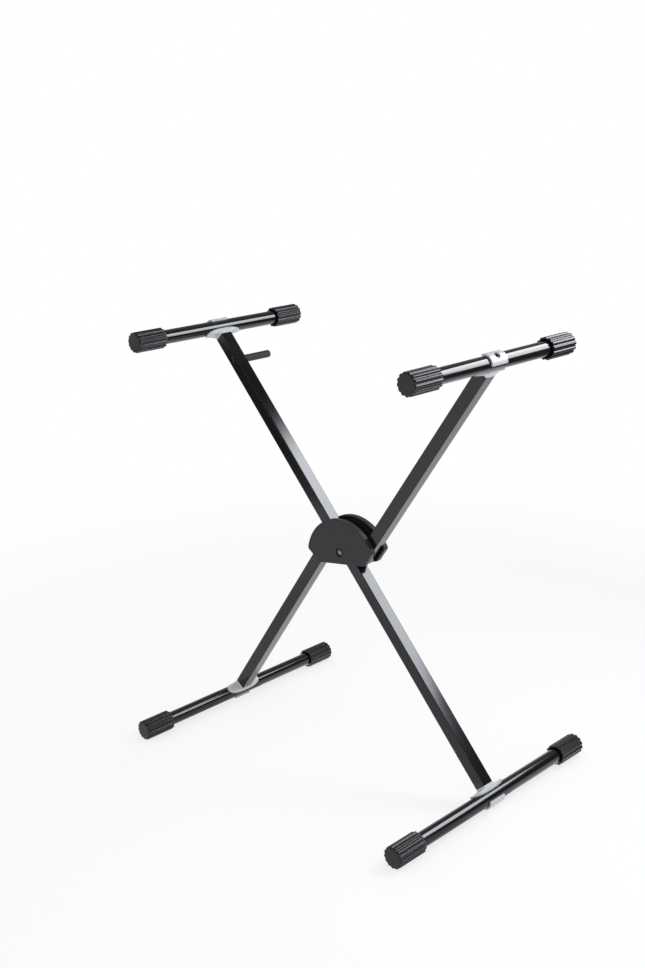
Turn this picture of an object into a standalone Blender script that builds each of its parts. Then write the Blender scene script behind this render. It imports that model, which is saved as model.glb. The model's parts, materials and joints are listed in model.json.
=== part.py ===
"""Folding cross-frame keyboard stand, standing open at its second lowest height.

Metres, +Z up. X runs across the stand from the left bars to the right bars, and Y along the bars,
front to rear. The origin is on the floor, under the middle of the stand.
One straight square tube, the main arm, turns on a bolt between two hub plates. The plates carry two
shorter link tubes, one to either side of the bolt, so the stand folds flat with its bars side by side.
A pin inside the main arm drops into notches on the plates' rim and holds the height.
"""

from math import asin, atan2, cos, hypot, pi, radians, sin, sqrt

import bmesh
import bpy
from mathutils import Matrix, Vector

OBJECT_NAME = "keyboard_stand"

# Fits
GAP = 0.0003
RUNNING_GAP = 0.0005
MERGE_DISTANCE = 0.00001

# Square arm tubes, measured from the pivot to the cross bars
TUBE_SIDE = 0.0222
TUBE_WALL = 0.0015
TUBE_CORNER = 0.0016
ARM_REACH = 0.475
LINK_REACH = 0.4788
LINK_OFFSET = 0.0373
OPENING = radians(77.34)

# Round cross bars, their lengths over the caps
BAR_RADIUS = 0.0125
BAR_WALL = 0.0015
TOP_BAR_LENGTH = 0.382
FLOOR_BAR_LENGTH = 0.479

# Ribbed caps
CAP_RADIUS = 0.0182
CAP_LENGTH = 0.0595
CAP_END = 0.004
CAP_CHAMFER = 0.0026
CAP_DISC = 0.0146
RIB_COUNT = 13
RIB_HEIGHT = 0.0021
RIB_FLAT = 0.0034
RIB_FOOT = 0.0055

# Saddles between arm tubes and bars
SADDLE_NECK = 0.0072
SADDLE_PLATE = 0.0026
SADDLE_HALF_LENGTH = 0.038
SADDLE_HALF_ANGLE = radians(51)
SADDLE_PLUG = 0.025
SADDLE_RINGS = 4
SADDLE_SQUARENESS = 0.12

# Clamp plates and their screws
CLAMP_PLATE = 0.003
CLAMP_LENGTH = 0.037
CLAMP_HALF_ANGLE = radians(60)
CLAMP_CORNER = 0.0014
CLAMP_STRIPS = 10
SCREW_RADIUS = 0.003
SCREW_HEAD_RADIUS = 0.0054
SCREW_SINK = 0.0007
SCREW_GRIP = 0.018
SOCKET_FLATS = 0.004
SOCKET_DEPTH = 0.0018

# Hub plates and link tube fixings
HUB_PLATE = 0.003
NOTCH_COUNT = 7
NOTCHES_OPEN = 5
NOTCH_RIM = 0.045
NOTCH_STEPS = 5
NOTCH_LIP = 1.2
PLATE_MARGIN = 0.0112
PLATE_END = 0.0498
PLATE_CHORD = 0.016
LINK_END = 0.0198
RIVET_RADIUS = 0.003
RIVET_HEAD_RADIUS = 0.005
RIVET_HEAD = 0.0012
RIVET_HEAD_SIDE = 0.0004
RIVET_CROWN_RADIUS = 0.0035
RIVET_PLACES = (0.033, 0.0445)
PLUG_HEAD = 0.002
PLUG_LEG = 0.006

# Half-moon shells
SHELL_WALL = 0.003
SHELL_DEPTH = 0.0098
SHELL_ARC = 0.0835
SHELL_SHIFT = 0.025
SHELL_CHORD = 0.0212
SHELL_MARGIN = 0.0053
SHELL_CORNER = 0.005
SHELL_EDGE = 0.0012
SHELL_ARC_STEPS = 16
DOWEL_RADIUS = 0.0028
DOWEL_PLACES = ((-0.012, -0.022), (0.022, 0.012))

# Pivot
BOLT_RADIUS = 0.004
BOLT_HEAD_RADIUS = 0.0058
BOLT_HEAD_SIDE = 0.0012
BOLT_HEAD_DOME = 0.0018
DOME_STEPS = 4
RECESS_RADIUS = 0.0086
RECESS_DEPTH = 0.0034
BOSS_RADIUS = 0.0115
NUT_FLATS = 0.013
NUT_HEIGHT = 0.0048
BUSH_WALL = 0.0018

# Height lock inside the main arm
PIN_RADIUS = 0.0035
PIN_SEAT = 0.041
PIN_END = 0.0008
TRAVEL = 0.008
CARRIER_BACK = 0.007
CARRIER_FRONT = 0.021
ROD_RADIUS = 0.002
ROD_ENTRY = 0.005
SPRING_WIRE = 0.0007
SPRING_RADIUS = 0.0052
SPRING_TURNS = 7
SPRING_POINTS = 8
SPRING_LENGTH = 0.042
STOP_LENGTH = 0.010
PEG_AT = 0.402
PEG_BLOCK_HALF = 0.011
PEG_BOLT_RADIUS = 0.004
GRIP_RADIUS = 0.0068
GRIP_LENGTH = 0.0655
GRIP_TIP = 0.005

# Numbers of sides, the angle from which an edge is sharp, and how far a cut runs past its piece
BAR_SIDES = 28
HUB_SIDES = 24
BOLT_SIDES = 16
PIN_SIDES = 12
SADDLE_SIDES = 24
SHARP_ANGLE = radians(35)
CUT_OVER = 0.002

# Sizes that follow
HALF_SIDE = TUBE_SIDE / 2
BORE_SIDE = TUBE_SIDE - 2 * TUBE_WALL
SLIDER_SIDE = BORE_SIDE - 2 * GAP
PLATE_INNER = HALF_SIDE + GAP
PLATE_OUTER = PLATE_INNER + HUB_PLATE
SHELL_RIM = HALF_SIDE + GAP
SHELL_FACE = SHELL_RIM + SHELL_DEPTH
SHELL_FLOOR = SHELL_FACE - SHELL_WALL
SHELL_SIDE = LINK_OFFSET + HALF_SIDE + SHELL_MARGIN
RECESS_FLOOR = SHELL_FACE - RECESS_DEPTH
SEAT_RADIUS = BAR_RADIUS + GAP
ARM_END = BAR_RADIUS + SADDLE_NECK
CLAMP_RADIUS = SEAT_RADIUS + CLAMP_PLATE
PIN_HALF_LENGTH = PLATE_OUTER + PIN_END
BUSH_RADIUS = BOLT_RADIUS + GAP + BUSH_WALL
CARRIER_END = PIN_SEAT + CARRIER_FRONT
STOP_START = CARRIER_END + SPRING_LENGTH
PEG_REACH = HALF_SIDE + RUNNING_GAP + GRIP_LENGTH

# The main arm leans so that the two top bars are level, and so are the two floor bars.
LINK_LEAD = atan2(LINK_OFFSET, LINK_REACH)
LINK_RADIUS = hypot(LINK_OFFSET, LINK_REACH)
BAR_ANGLE = OPENING + LINK_LEAD
ARM_LEAN = atan2(ARM_REACH - LINK_RADIUS * cos(BAR_ANGLE), LINK_RADIUS * sin(BAR_ANGLE))
LINK_LEAN = OPENING - ARM_LEAN
PIVOT_HEIGHT = ARM_REACH * cos(ARM_LEAN) + CAP_RADIUS
NOTCH_PITCH = OPENING / NOTCHES_OPEN

UP = 0.0
DOWN = pi


def make_collection(name):
    collection = bpy.data.collections.new(name)
    bpy.context.scene.collection.children.link(collection)
    return collection


def make_material(name, colour, roughness, metallic=0.0):
    material = bpy.data.materials.new(name)
    material.use_nodes = True
    shader = material.node_tree.nodes["Principled BSDF"]
    shader.inputs["Base Color"].default_value = (*colour, 1.0)
    shader.inputs["Roughness"].default_value = roughness
    shader.inputs["Metallic"].default_value = metallic
    return material


def make_frame(name, place, parent=None):
    """An empty that the pieces of one arm or one bar stand on."""
    frame = bpy.data.objects.new(name, None)
    parts.objects.link(frame)
    frame.parent = parent
    frame.matrix_local = place
    return frame


def add_object(name, data, frame, collection, place=None):
    thing = bpy.data.objects.new(name, data)
    collection.objects.link(thing)
    thing.parent = frame
    thing.matrix_local = place or Matrix.Identity(4)
    return thing


def add_part(name, shape, frame, material, place=None, open_surface=False):
    """Makes a named piece from a bmesh. An open surface keeps the way its faces already point."""
    if not open_surface:
        bmesh.ops.recalc_face_normals(shape, faces=shape.faces)
    mesh = bpy.data.meshes.new(name)
    shape.to_mesh(mesh)
    shape.free()
    mesh.shade_smooth()
    mesh.set_sharp_from_angle(angle=SHARP_ANGLE)
    mesh.materials.append(material)
    return add_object(name, mesh, frame, parts, place)


def add_boolean(part, tool, operation):
    modifier = part.modifiers.new(tool.name, "BOOLEAN")
    modifier.operation = operation
    modifier.solver = "EXACT"
    modifier.object = tool


def combine(part, name, shape, frame, operation="DIFFERENCE", place=None):
    """Cuts a bmesh out of a piece, or joins it on, by way of a hidden object."""
    bmesh.ops.recalc_face_normals(shape, faces=shape.faces)
    mesh = bpy.data.meshes.new(name)
    shape.to_mesh(mesh)
    shape.free()
    tool = add_object(name, mesh, frame, cutters, place)
    tool.hide_render = True
    tool.display_type = "WIRE"
    add_boolean(part, tool, operation)


def box_shape(side, low, high, corner=0.0):
    """A square bar along Z, its long edges rounded."""
    shape = bmesh.new()
    bmesh.ops.create_cube(shape, size=1.0)
    bmesh.ops.scale(shape, vec=(side, side, high - low), verts=shape.verts)
    bmesh.ops.translate(shape, vec=(0, 0, (low + high) / 2), verts=shape.verts)
    if corner:
        long_edges = [e for e in shape.edges if abs(e.verts[0].co.z - e.verts[1].co.z) > GAP]
        bmesh.ops.bevel(
            shape, geom=long_edges, offset=corner, segments=2, profile=0.5, affect="EDGES", material=-1
        )
    return shape


def round_shape(radius, low, high, sides=BOLT_SIDES, axis="Z", centre=(0, 0)):
    """A round bar from low to high along Z or along Y, its centre given across that axis."""
    shape = bmesh.new()
    bmesh.ops.create_cone(
        shape, cap_ends=True, segments=sides, radius1=radius, radius2=radius, depth=high - low
    )
    bmesh.ops.translate(shape, vec=(0, 0, (low + high) / 2), verts=shape.verts)
    if axis == "Y":
        bmesh.ops.rotate(shape, matrix=Matrix.Rotation(-pi / 2, 3, "X"), verts=shape.verts)
        bmesh.ops.translate(shape, vec=(centre[0], 0, centre[1]), verts=shape.verts)
    else:
        bmesh.ops.translate(shape, vec=(centre[0], centre[1], 0), verts=shape.verts)
    return shape


def slot_shape(radius, start, end):
    """A slot with round ends along Z, deep enough along Y to cut through a square tube."""
    depth = HALF_SIDE + CUT_OVER
    shape = round_shape(radius, -depth, depth, BOLT_SIDES, "Y", (0, start))
    for vert in shape.verts:
        if vert.co.z > start:
            vert.co.z += end - start
    return shape


def turned(name, profile, frame, material, sides=BOLT_SIDES, along_y=True, at=(0, 0), closed=False):
    """A turned piece. Its profile of radii and heights runs down the outside from the top."""
    mesh = bpy.data.meshes.new(name)
    edges = [(i, i + 1) for i in range(len(profile) - 1)]
    if closed:
        edges.append((len(profile) - 1, 0))
    mesh.from_pydata([(radius, 0, height) for radius, height in profile], edges, [])
    mesh.materials.append(material)
    place = Matrix.Translation((at[0], 0, at[1]))
    if along_y:
        place = place @ Matrix.Rotation(-pi / 2, 4, "X")
    part = add_object(name, mesh, frame, parts, place)
    spin = part.modifiers.new("spin", "SCREW")
    spin.angle = 2 * pi
    spin.steps = sides
    spin.render_steps = sides
    spin.use_merge_vertices = True
    spin.merge_threshold = MERGE_DISTANCE
    spin.use_smooth_shade = True
    return part


def arc_points(centre, radius, start, end, steps):
    """Points on an arc. Angles run from the frame's Z towards its X."""
    angles = [start + (end - start) * i / steps for i in range(steps + 1)]
    return [(centre[0] + radius * sin(a), centre[1] + radius * cos(a)) for a in angles]


def hole_points(centre, radius, sides):
    return arc_points(centre, radius, 0, 2 * pi * (1 - 1 / sides), sides - 1)


def loft(rings):
    """A closed skin through rings with the same number of points."""
    shape = bmesh.new()
    loops = [[shape.verts.new(point) for point in ring] for ring in rings]
    for low, high in zip(loops, loops[1:]):
        for i in range(len(low)):
            j = (i + 1) % len(low)
            shape.faces.new((low[i], low[j], high[j], high[i]))
    shape.faces.new(loops[0])
    shape.faces.new(loops[-1])
    return shape


# Square tubes


def square_tube(name, low, high, across, frame):
    place = Matrix.Translation((across, 0, 0))
    tube = add_part(name, box_shape(TUBE_SIDE, low, high, TUBE_CORNER), frame, black_enamel, place)
    bore = box_shape(BORE_SIDE, low - CUT_OVER, high + CUT_OVER)
    combine(tube, name + "_bore", bore, frame, place=place)
    return tube


def add_main_arm():
    """The tube from the left top bar to the right floor bar, with its pivot hole and lock slots."""
    reach = ARM_REACH - ARM_END
    tube = square_tube("main_arm_tube", -reach, reach, 0, main_arm)
    depth = HALF_SIDE + CUT_OVER
    bush_hole = round_shape(BUSH_RADIUS + GAP, -depth, depth, axis="Y")
    combine(tube, "bush_hole", bush_hole, main_arm)
    combine(tube, "pin_slot", slot_shape(PIN_RADIUS + GAP, PIN_SEAT, PIN_SEAT + TRAVEL), main_arm)
    combine(tube, "peg_slot", slot_shape(PEG_BOLT_RADIUS + GAP, PEG_AT, PEG_AT + TRAVEL), main_arm)


def add_link_tube(name, side):
    """A tube from the hub to its cross bar, with its end plug and the holes for two rivets."""
    turn = Matrix.Rotation(0 if side > 0 else pi, 4, "Y")
    half = make_frame(name + "_side", turn, link_arm)
    tube = square_tube(name + "_tube", LINK_END, LINK_REACH - ARM_END, LINK_OFFSET, half)
    depth = HALF_SIDE + CUT_OVER
    for number, place in enumerate(RIVET_PLACES, start=1):
        hole = round_shape(RIVET_RADIUS + GAP, -depth, depth, PIN_SIDES, "Y", (LINK_OFFSET, place))
        combine(tube, f"{name}_rivet_hole_{number}", hole, half)
        add_rivet(f"{name}_rivet_{number}", place, half)
    add_link_plug(name + "_plug", half)


def add_rivet(name, place, frame):
    seat = PLATE_OUTER + GAP
    top = seat + RIVET_HEAD
    outside = [
        (0, top), (RIVET_CROWN_RADIUS, top), (RIVET_HEAD_RADIUS, seat + RIVET_HEAD_SIDE),
        (RIVET_HEAD_RADIUS, seat), (RIVET_RADIUS, seat),
    ]
    profile = outside + [(radius, -height) for radius, height in reversed(outside)]
    turned(name, profile, frame, blackened_steel, sides=PIN_SIDES, at=(LINK_OFFSET, place))


def add_link_plug(name, frame):
    """A moulded plug that closes the tube's end at the hub: a leg in the bore under a flat head."""
    shape = box_shape(SLIDER_SIDE, LINK_END - GAP, LINK_END + PLUG_LEG)
    foot = min(shape.faces, key=lambda f: f.calc_center_median().z)
    widen = TUBE_SIDE / SLIDER_SIDE
    for scale, drop in ((widen, 0), (1, PLUG_HEAD)):
        made = bmesh.ops.extrude_face_region(shape, geom=[foot])["geom"]
        bmesh.ops.delete(shape, geom=[foot], context="FACES_ONLY")
        rim = [item for item in made if isinstance(item, bmesh.types.BMVert)]
        foot = next(item for item in made if isinstance(item, bmesh.types.BMFace))
        bmesh.ops.scale(shape, vec=(scale, scale, 1), verts=rim)
        bmesh.ops.translate(shape, vec=(0, 0, -drop), verts=rim)
    add_part(name, shape, frame, black_plastic, Matrix.Translation((LINK_OFFSET, 0, 0)))


# Hub plates and shells


def notch_points(number):
    """One notch of the rim, from its corner nearer the upper link tube to the other."""
    turn = -number * NOTCH_PITCH
    radius = PIN_RADIUS + GAP
    mouth = sqrt(NOTCH_RIM ** 2 - radius ** 2)
    path = [(-radius, mouth)]
    for i in range(NOTCH_STEPS + 1):
        bend = pi * i / NOTCH_STEPS
        path.append((-radius * cos(bend), PIN_SEAT - radius * sin(bend)))
    path.append((radius, mouth))
    return [
        (reach * sin(turn) - along * cos(turn), reach * cos(turn) + along * sin(turn))
        for along, reach in path
    ]


def plate_outline():
    """The notched rim, then round the two wings that the link tubes are riveted to.

    The rim's arcs stop just outside the end notches, by the share of half a notch in NOTCH_LIP.
    """
    near = LINK_OFFSET - PLATE_MARGIN
    far = LINK_OFFSET + PLATE_MARGIN
    chord = PLATE_CHORD * sqrt(2)
    notch_half = asin((PIN_RADIUS + GAP) / NOTCH_RIM)
    last_notch = -(NOTCH_COUNT - 1) * NOTCH_PITCH
    lip = notch_half * NOTCH_LIP
    rim_end = last_notch - 2 * notch_half
    points = [(near, PLATE_END)]
    points += arc_points((0, 0), NOTCH_RIM, asin(near / NOTCH_RIM), lip, NOTCH_STEPS)
    for number in range(NOTCH_COUNT):
        points += notch_points(number)
    points += arc_points((0, 0), NOTCH_RIM, last_notch - lip, rim_end, 2)
    points += [
        (-far, NOTCH_RIM * cos(rim_end) - (far - NOTCH_RIM)),
        (-far, -PLATE_END),
        (-near, -PLATE_END),
        (-near, -near - chord),
        (far, far - chord),
        (far, PLATE_END),
    ]
    return points


def add_hub_plate(name, side):
    """A notched steel plate beside the tubes."""
    holes = [hole_points((0, 0), BOLT_RADIUS + GAP, BOLT_SIDES)]
    holes += [hole_points(place, DOWEL_RADIUS + GAP, PIN_SIDES) for place in DOWEL_PLACES]
    for place in RIVET_PLACES:
        holes.append(hole_points((LINK_OFFSET, place), RIVET_RADIUS + GAP, PIN_SIDES))
        holes.append(hole_points((-LINK_OFFSET, -place), RIVET_RADIUS + GAP, PIN_SIDES))
    curve = bpy.data.curves.new(name, "CURVE")
    curve.dimensions = "2D"
    curve.fill_mode = "BOTH"
    curve.extrude = HUB_PLATE / 2
    for loop in [plate_outline()] + holes:
        spline = curve.splines.new("POLY")
        spline.points.add(len(loop) - 1)
        for point, (x, z) in zip(spline.points, loop):
            point.co = (x, z, 0, 1)
        spline.use_cyclic_u = True
    curve.materials.append(blackened_steel)
    middle = side * (PLATE_INNER + PLATE_OUTER) / 2
    place = Matrix.Translation((0, middle, 0)) @ Matrix.Rotation(pi / 2, 4, "X")
    add_object(name, curve, link_arm, parts, place)


def half_moon(inset, rim, face):
    """A half-moon block on the front side, between two distances from the hub's middle.

    The inset draws its outline in all round, so that a smaller block hollows a larger one out.
    """
    side = SHELL_SIDE - inset
    arc = SHELL_ARC - inset
    centre = (SHELL_SHIFT / sqrt(2), -SHELL_SHIFT / sqrt(2))
    start = asin((side - centre[0]) / arc)
    chord = (SHELL_CHORD - inset) * sqrt(2)
    outline = arc_points(centre, arc, start, -pi / 2 - start, SHELL_ARC_STEPS)
    outline += [(-side + chord, -side), (side, side - chord)]
    shape = bmesh.new()
    verts = [shape.verts.new((x, -rim, z)) for x, z in outline]
    shape.faces.new(verts)
    corners = [verts[0]] + verts[SHELL_ARC_STEPS:]
    corner = max(SHELL_CORNER - inset, GAP)
    bmesh.ops.bevel(
        shape, geom=corners, offset=corner, segments=3, profile=0.5, affect="VERTICES", material=-1
    )
    made = bmesh.ops.extrude_face_region(shape, geom=shape.faces[:])["geom"]
    raised = [item for item in made if isinstance(item, bmesh.types.BMVert)]
    bmesh.ops.translate(shape, vec=(0, rim - face, 0), verts=raised)
    bmesh.ops.recalc_face_normals(shape, faces=shape.faces)
    return shape


def add_hub_shell(name, frame):
    """A half-moon cover with a boss and a recess for the pivot bolt, and two dowels into the plate.

    The boss and the dowels start inside the cover's wall.
    """
    cover = half_moon(0, SHELL_RIM, SHELL_FACE)
    face = min(cover.faces, key=lambda f: f.calc_center_median().y)
    edge = min(SHELL_EDGE, SHELL_WALL / 2)
    bmesh.ops.bevel(
        cover, geom=list(face.edges), offset=edge, segments=1, profile=0.5, affect="EDGES", material=-1
    )
    shell = add_part(name, cover, frame, shell_plastic)
    combine(shell, name + "_hollow", half_moon(SHELL_WALL, SHELL_RIM - CUT_OVER, SHELL_FLOOR), frame)
    root = -(SHELL_FLOOR + SHELL_WALL / 3)
    boss = round_shape(BOSS_RADIUS, root, -(PLATE_OUTER + GAP), HUB_SIDES, "Y")
    combine(shell, name + "_boss", boss, frame, "UNION")
    for number, place in enumerate(DOWEL_PLACES, start=1):
        dowel = round_shape(DOWEL_RADIUS, root, -(PLATE_INNER + GAP), PIN_SIDES, "Y", place)
        combine(shell, f"{name}_dowel_{number}", dowel, frame, "UNION")
    recess = round_shape(RECESS_RADIUS, -SHELL_FACE - CUT_OVER, -RECESS_FLOOR, HUB_SIDES, "Y")
    combine(shell, name + "_recess", recess, frame)
    hole = round_shape(BOLT_RADIUS + GAP, -RECESS_FLOOR - CUT_OVER, -PLATE_OUTER, axis="Y")
    combine(shell, name + "_hole", hole, frame)


# Pivot


def add_pivot():
    """The bolt with its domed head in front, the nut behind, and the bush in the main arm."""
    seat = RECESS_FLOOR + GAP
    head = seat + BOLT_HEAD_SIDE
    dome = []
    for i in range(DOME_STEPS):
        bend = pi / 2 * i / DOME_STEPS
        dome.append((BOLT_HEAD_RADIUS * cos(bend), -head - BOLT_HEAD_DOME * sin(bend)))
    end = seat + NUT_HEIGHT - GAP
    profile = [(0, end), (BOLT_RADIUS, end), (BOLT_RADIUS, -seat), (BOLT_HEAD_RADIUS, -seat)]
    profile += dome + [(0, -head - BOLT_HEAD_DOME)]
    turned("pivot_bolt", profile, link_arm, zinc_steel)

    nut = round_shape(NUT_FLATS / 2 / cos(pi / 6), seat, seat + NUT_HEIGHT, sides=6, axis="Y")
    nut = add_part("pivot_nut", nut, link_arm, zinc_steel)
    thread = round_shape(BOLT_RADIUS + GAP, seat - CUT_OVER, seat + NUT_HEIGHT + CUT_OVER, axis="Y")
    combine(nut, "pivot_nut_thread", thread, link_arm)

    bore = BOLT_RADIUS + GAP
    profile = [(BUSH_RADIUS, HALF_SIDE), (BUSH_RADIUS, -HALF_SIDE), (bore, -HALF_SIDE), (bore, HALF_SIDE)]
    turned("pivot_bush", profile, main_arm, bearing_plastic, closed=True)


# Cross bars


def square_ring(half, height):
    """A square with slightly rounded corners, its points spread by angle."""
    ring = []
    for i in range(SADDLE_SIDES):
        turn = 2 * pi * i / SADDLE_SIDES
        x = abs(cos(turn)) ** SADDLE_SQUARENESS if abs(cos(turn)) > GAP else 0
        y = abs(sin(turn)) ** SADDLE_SQUARENESS if abs(sin(turn)) > GAP else 0
        ring.append((half * (x if cos(turn) > 0 else -x), half * (y if sin(turn) > 0 else -y), height))
    return ring


def saddle_ring(spread, radius):
    """A ring between the square neck and the edge of the flange that wraps the bar."""
    neck = square_ring(HALF_SIDE, ARM_END - GAP)
    out = spread ** 2
    fall = 1 - (1 - spread) ** 2
    ring = []
    for i, (neck_x, neck_y, neck_z) in enumerate(neck):
        turn = 2 * pi * i / SADDLE_SIDES
        wrap = SADDLE_HALF_ANGLE * cos(turn)
        ring.append((
            neck_x + (radius * sin(wrap) - neck_x) * out,
            neck_y + (SADDLE_HALF_LENGTH * sin(turn) - neck_y) * out,
            neck_z + (radius * cos(wrap) - neck_z) * fall,
        ))
    return ring


def add_saddle(name, frame):
    """A cast saddle: a plug in the arm tube, a shoulder under its end, and a flange round the bar.

    Its last ring lies inside the bar, so that the seat cut leaves the flange with a clean inner face.
    """
    shoulder = ARM_END - GAP
    plug = SLIDER_SIDE / 2
    rings = [square_ring(plug, ARM_END + SADDLE_PLUG), square_ring(plug, shoulder)]
    rings += [
        saddle_ring(step / SADDLE_RINGS, SEAT_RADIUS + SADDLE_PLATE) for step in range(SADDLE_RINGS + 1)
    ]
    rings.append(saddle_ring(1, SEAT_RADIUS - SADDLE_PLATE / 3))
    saddle = add_part(name, loft(rings), frame, cast_grey)
    reach = SADDLE_HALF_LENGTH + CUT_OVER
    combine(saddle, name + "_seat", round_shape(SEAT_RADIUS, -reach, reach, BAR_SIDES, "Y"), frame)
    hole = round_shape(SCREW_RADIUS + GAP, 0, ARM_END + SADDLE_PLUG + CUT_OVER, PIN_SIDES)
    combine(saddle, name + "_hole", hole, frame)


def rounded_rectangle(half_x, half_y, radius):
    """Points round a rectangle with rounded corners, two steps to a corner."""
    points = []
    for quarter, (side_x, side_y) in enumerate(((1, 1), (1, -1), (-1, -1), (-1, 1))):
        centre = (side_x * (half_x - radius), side_y * (half_y - radius))
        points += arc_points(centre, radius, quarter * pi / 2, (quarter + 1) * pi / 2, 2)
    return points


def add_clamp_plate(name, frame):
    """A curved plate across the bar from the saddle, countersunk for the screw."""
    shape = bmesh.new()
    half_arc = CLAMP_HALF_ANGLE * SEAT_RADIUS
    outline = rounded_rectangle(half_arc, CLAMP_LENGTH / 2, CLAMP_CORNER)
    shape.faces.new([shape.verts.new((x, y, 0)) for x, y in outline])
    for strip in range(1, CLAMP_STRIPS):
        line = half_arc * (2 * strip / CLAMP_STRIPS - 1)
        everything = shape.verts[:] + shape.edges[:] + shape.faces[:]
        bmesh.ops.bisect_plane(shape, geom=everything, plane_co=(line, 0, 0), plane_no=(1, 0, 0))
    for vert in shape.verts:
        wrap = vert.co.x / SEAT_RADIUS
        vert.co.x = SEAT_RADIUS * sin(wrap)
        vert.co.z = -SEAT_RADIUS * cos(wrap)
    bmesh.ops.triangulate(shape, faces=shape.faces[:])
    shape.normal_update()
    if sum(face.normal.z for face in shape.faces) > 0:
        bmesh.ops.reverse_faces(shape, faces=shape.faces[:])
    plate = add_part(name, shape, frame, cast_grey, open_surface=True)
    solidify = plate.modifiers.new("wall", "SOLIDIFY")
    solidify.thickness = CLAMP_PLATE
    solidify.offset = 1
    solidify.use_even_offset = True
    hole = round_shape(SCREW_RADIUS + GAP, -CLAMP_RADIUS, 0, PIN_SIDES)
    combine(plate, name + "_hole", hole, frame)
    slope = screw_head()[1]
    side_gap = GAP / cos(pi / 4)
    high = CLAMP_RADIUS + CUT_OVER
    sink = bmesh.new()
    bmesh.ops.create_cone(
        sink, cap_ends=True, segments=PIN_SIDES, depth=high - slope,
        radius1=SCREW_RADIUS + side_gap + high - slope, radius2=SCREW_RADIUS + side_gap,
    )
    bmesh.ops.translate(sink, vec=(0, 0, -(high + slope) / 2), verts=sink.verts)
    combine(plate, name + "_countersink", sink, frame)


def screw_head():
    """Distances from the bar's axis to the screw head's flat top and to the foot of its slope."""
    top = CLAMP_RADIUS - SCREW_SINK
    return top, top - (SCREW_HEAD_RADIUS - SCREW_RADIUS)


def add_screw(name, frame):
    """A countersunk socket screw from the clamp plate through the bar into the saddle's plug."""
    top, slope = screw_head()
    end = ARM_END + SCREW_GRIP
    profile = [(0, end), (SCREW_RADIUS, end), (SCREW_RADIUS, -slope), (SCREW_HEAD_RADIUS, -top), (0, -top)]
    screw = turned(name, profile, frame, blackened_steel, sides=PIN_SIDES, along_y=False)
    socket = round_shape(SOCKET_FLATS / 2 / cos(pi / 6), -top - CUT_OVER, SOCKET_DEPTH - top, sides=6)
    combine(screw, name + "_socket", socket, frame)


def add_bar(name, length, frame):
    """A round tube along Y, drilled for its screw."""
    half = length / 2 - CAP_END - GAP
    inner = BAR_RADIUS - BAR_WALL
    profile = [(BAR_RADIUS, half), (BAR_RADIUS, -half), (inner, -half), (inner, half)]
    bar = turned(name, profile, frame, black_enamel, sides=BAR_SIDES, closed=True)
    reach = BAR_RADIUS + CUT_OVER
    combine(bar, name + "_drilling", round_shape(SCREW_RADIUS + GAP, -reach, reach, PIN_SIDES), frame)


def ribbed_ring(depth):
    """The cap's outline of flat-topped ribs, one rib towards Z."""
    valley = CAP_RADIUS - RIB_HEIGHT
    foot = RIB_FOOT / 2
    flat = RIB_FLAT / 2
    ring = []
    for rib in range(RIB_COUNT):
        turn = 2 * pi * rib / RIB_COUNT
        for across, out in ((-foot, valley), (-flat, CAP_RADIUS), (flat, CAP_RADIUS), (foot, valley)):
            x = out * sin(turn) + across * cos(turn)
            z = out * cos(turn) - across * sin(turn)
            ring.append((x, depth, z))
    return ring


def round_ring(radius, depth):
    """A circle with its points beside those of the ribbed outline."""
    ring = []
    for x, y, z in ribbed_ring(depth):
        reach = hypot(x, z)
        ring.append((x * radius / reach, y, z * radius / reach))
    return ring


def add_cap(name, frame, length, side, rib_turn):
    """A ribbed rubber cap pushed on one end of the bar. Its bore is a hair wider than the bar."""
    rings = [
        round_ring(SEAT_RADIUS, CAP_LENGTH - CAP_END),
        round_ring(SEAT_RADIUS, 0),
        ribbed_ring(0),
        ribbed_ring(CAP_LENGTH - CAP_CHAMFER),
        round_ring(CAP_DISC, CAP_LENGTH),
    ]
    mouth = side * (length / 2 - CAP_LENGTH)
    place = Matrix.Translation((0, mouth, 0)) @ Matrix.Rotation(rib_turn, 4, "Y")
    if side < 0:
        place = place @ Matrix.Rotation(pi, 4, "Z")
    add_part(name, loft(rings), frame, cap_rubber, place)


def add_cross_bar(name, arm, arm_turn, across, along, length, front_rib, rear_rib):
    """One bar with its saddle, clamp plate, screw and caps. Its Z runs from the bar to the arm tube.

    The rib turns are the directions that one rib of each cap points in, from straight up.
    """
    flip = pi if along > 0 else 0
    place = Matrix.Translation((across, 0, along)) @ Matrix.Rotation(flip, 4, "Y")
    frame = make_frame(name + "_place", place, arm)
    total_turn = arm_turn + flip
    add_bar(name + "_bar", length, frame)
    add_saddle(name + "_saddle", frame)
    add_clamp_plate(name + "_clamp_plate", frame)
    add_screw(name + "_screw", frame)
    add_cap(name + "_front_cap", frame, length, -1, front_rib - total_turn)
    add_cap(name + "_rear_cap", frame, length, 1, rear_rib - total_turn)


# Height lock


def add_slider(name, low, high, cross_at, cross_radius, rod_low, rod_high):
    """A square block in the main arm's bore, with a hole across it and a hole for the pull rod."""
    block = add_part(name, box_shape(SLIDER_SIDE, low, high), release, bearing_plastic)
    depth = SLIDER_SIDE / 2 + CUT_OVER
    cross = round_shape(cross_radius + GAP, -depth, depth, PIN_SIDES, "Y", (0, cross_at))
    combine(block, name + "_cross_hole", cross, release)
    combine(block, name + "_rod_hole", round_shape(ROD_RADIUS + GAP, rod_low, rod_high, PIN_SIDES), release)


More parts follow.
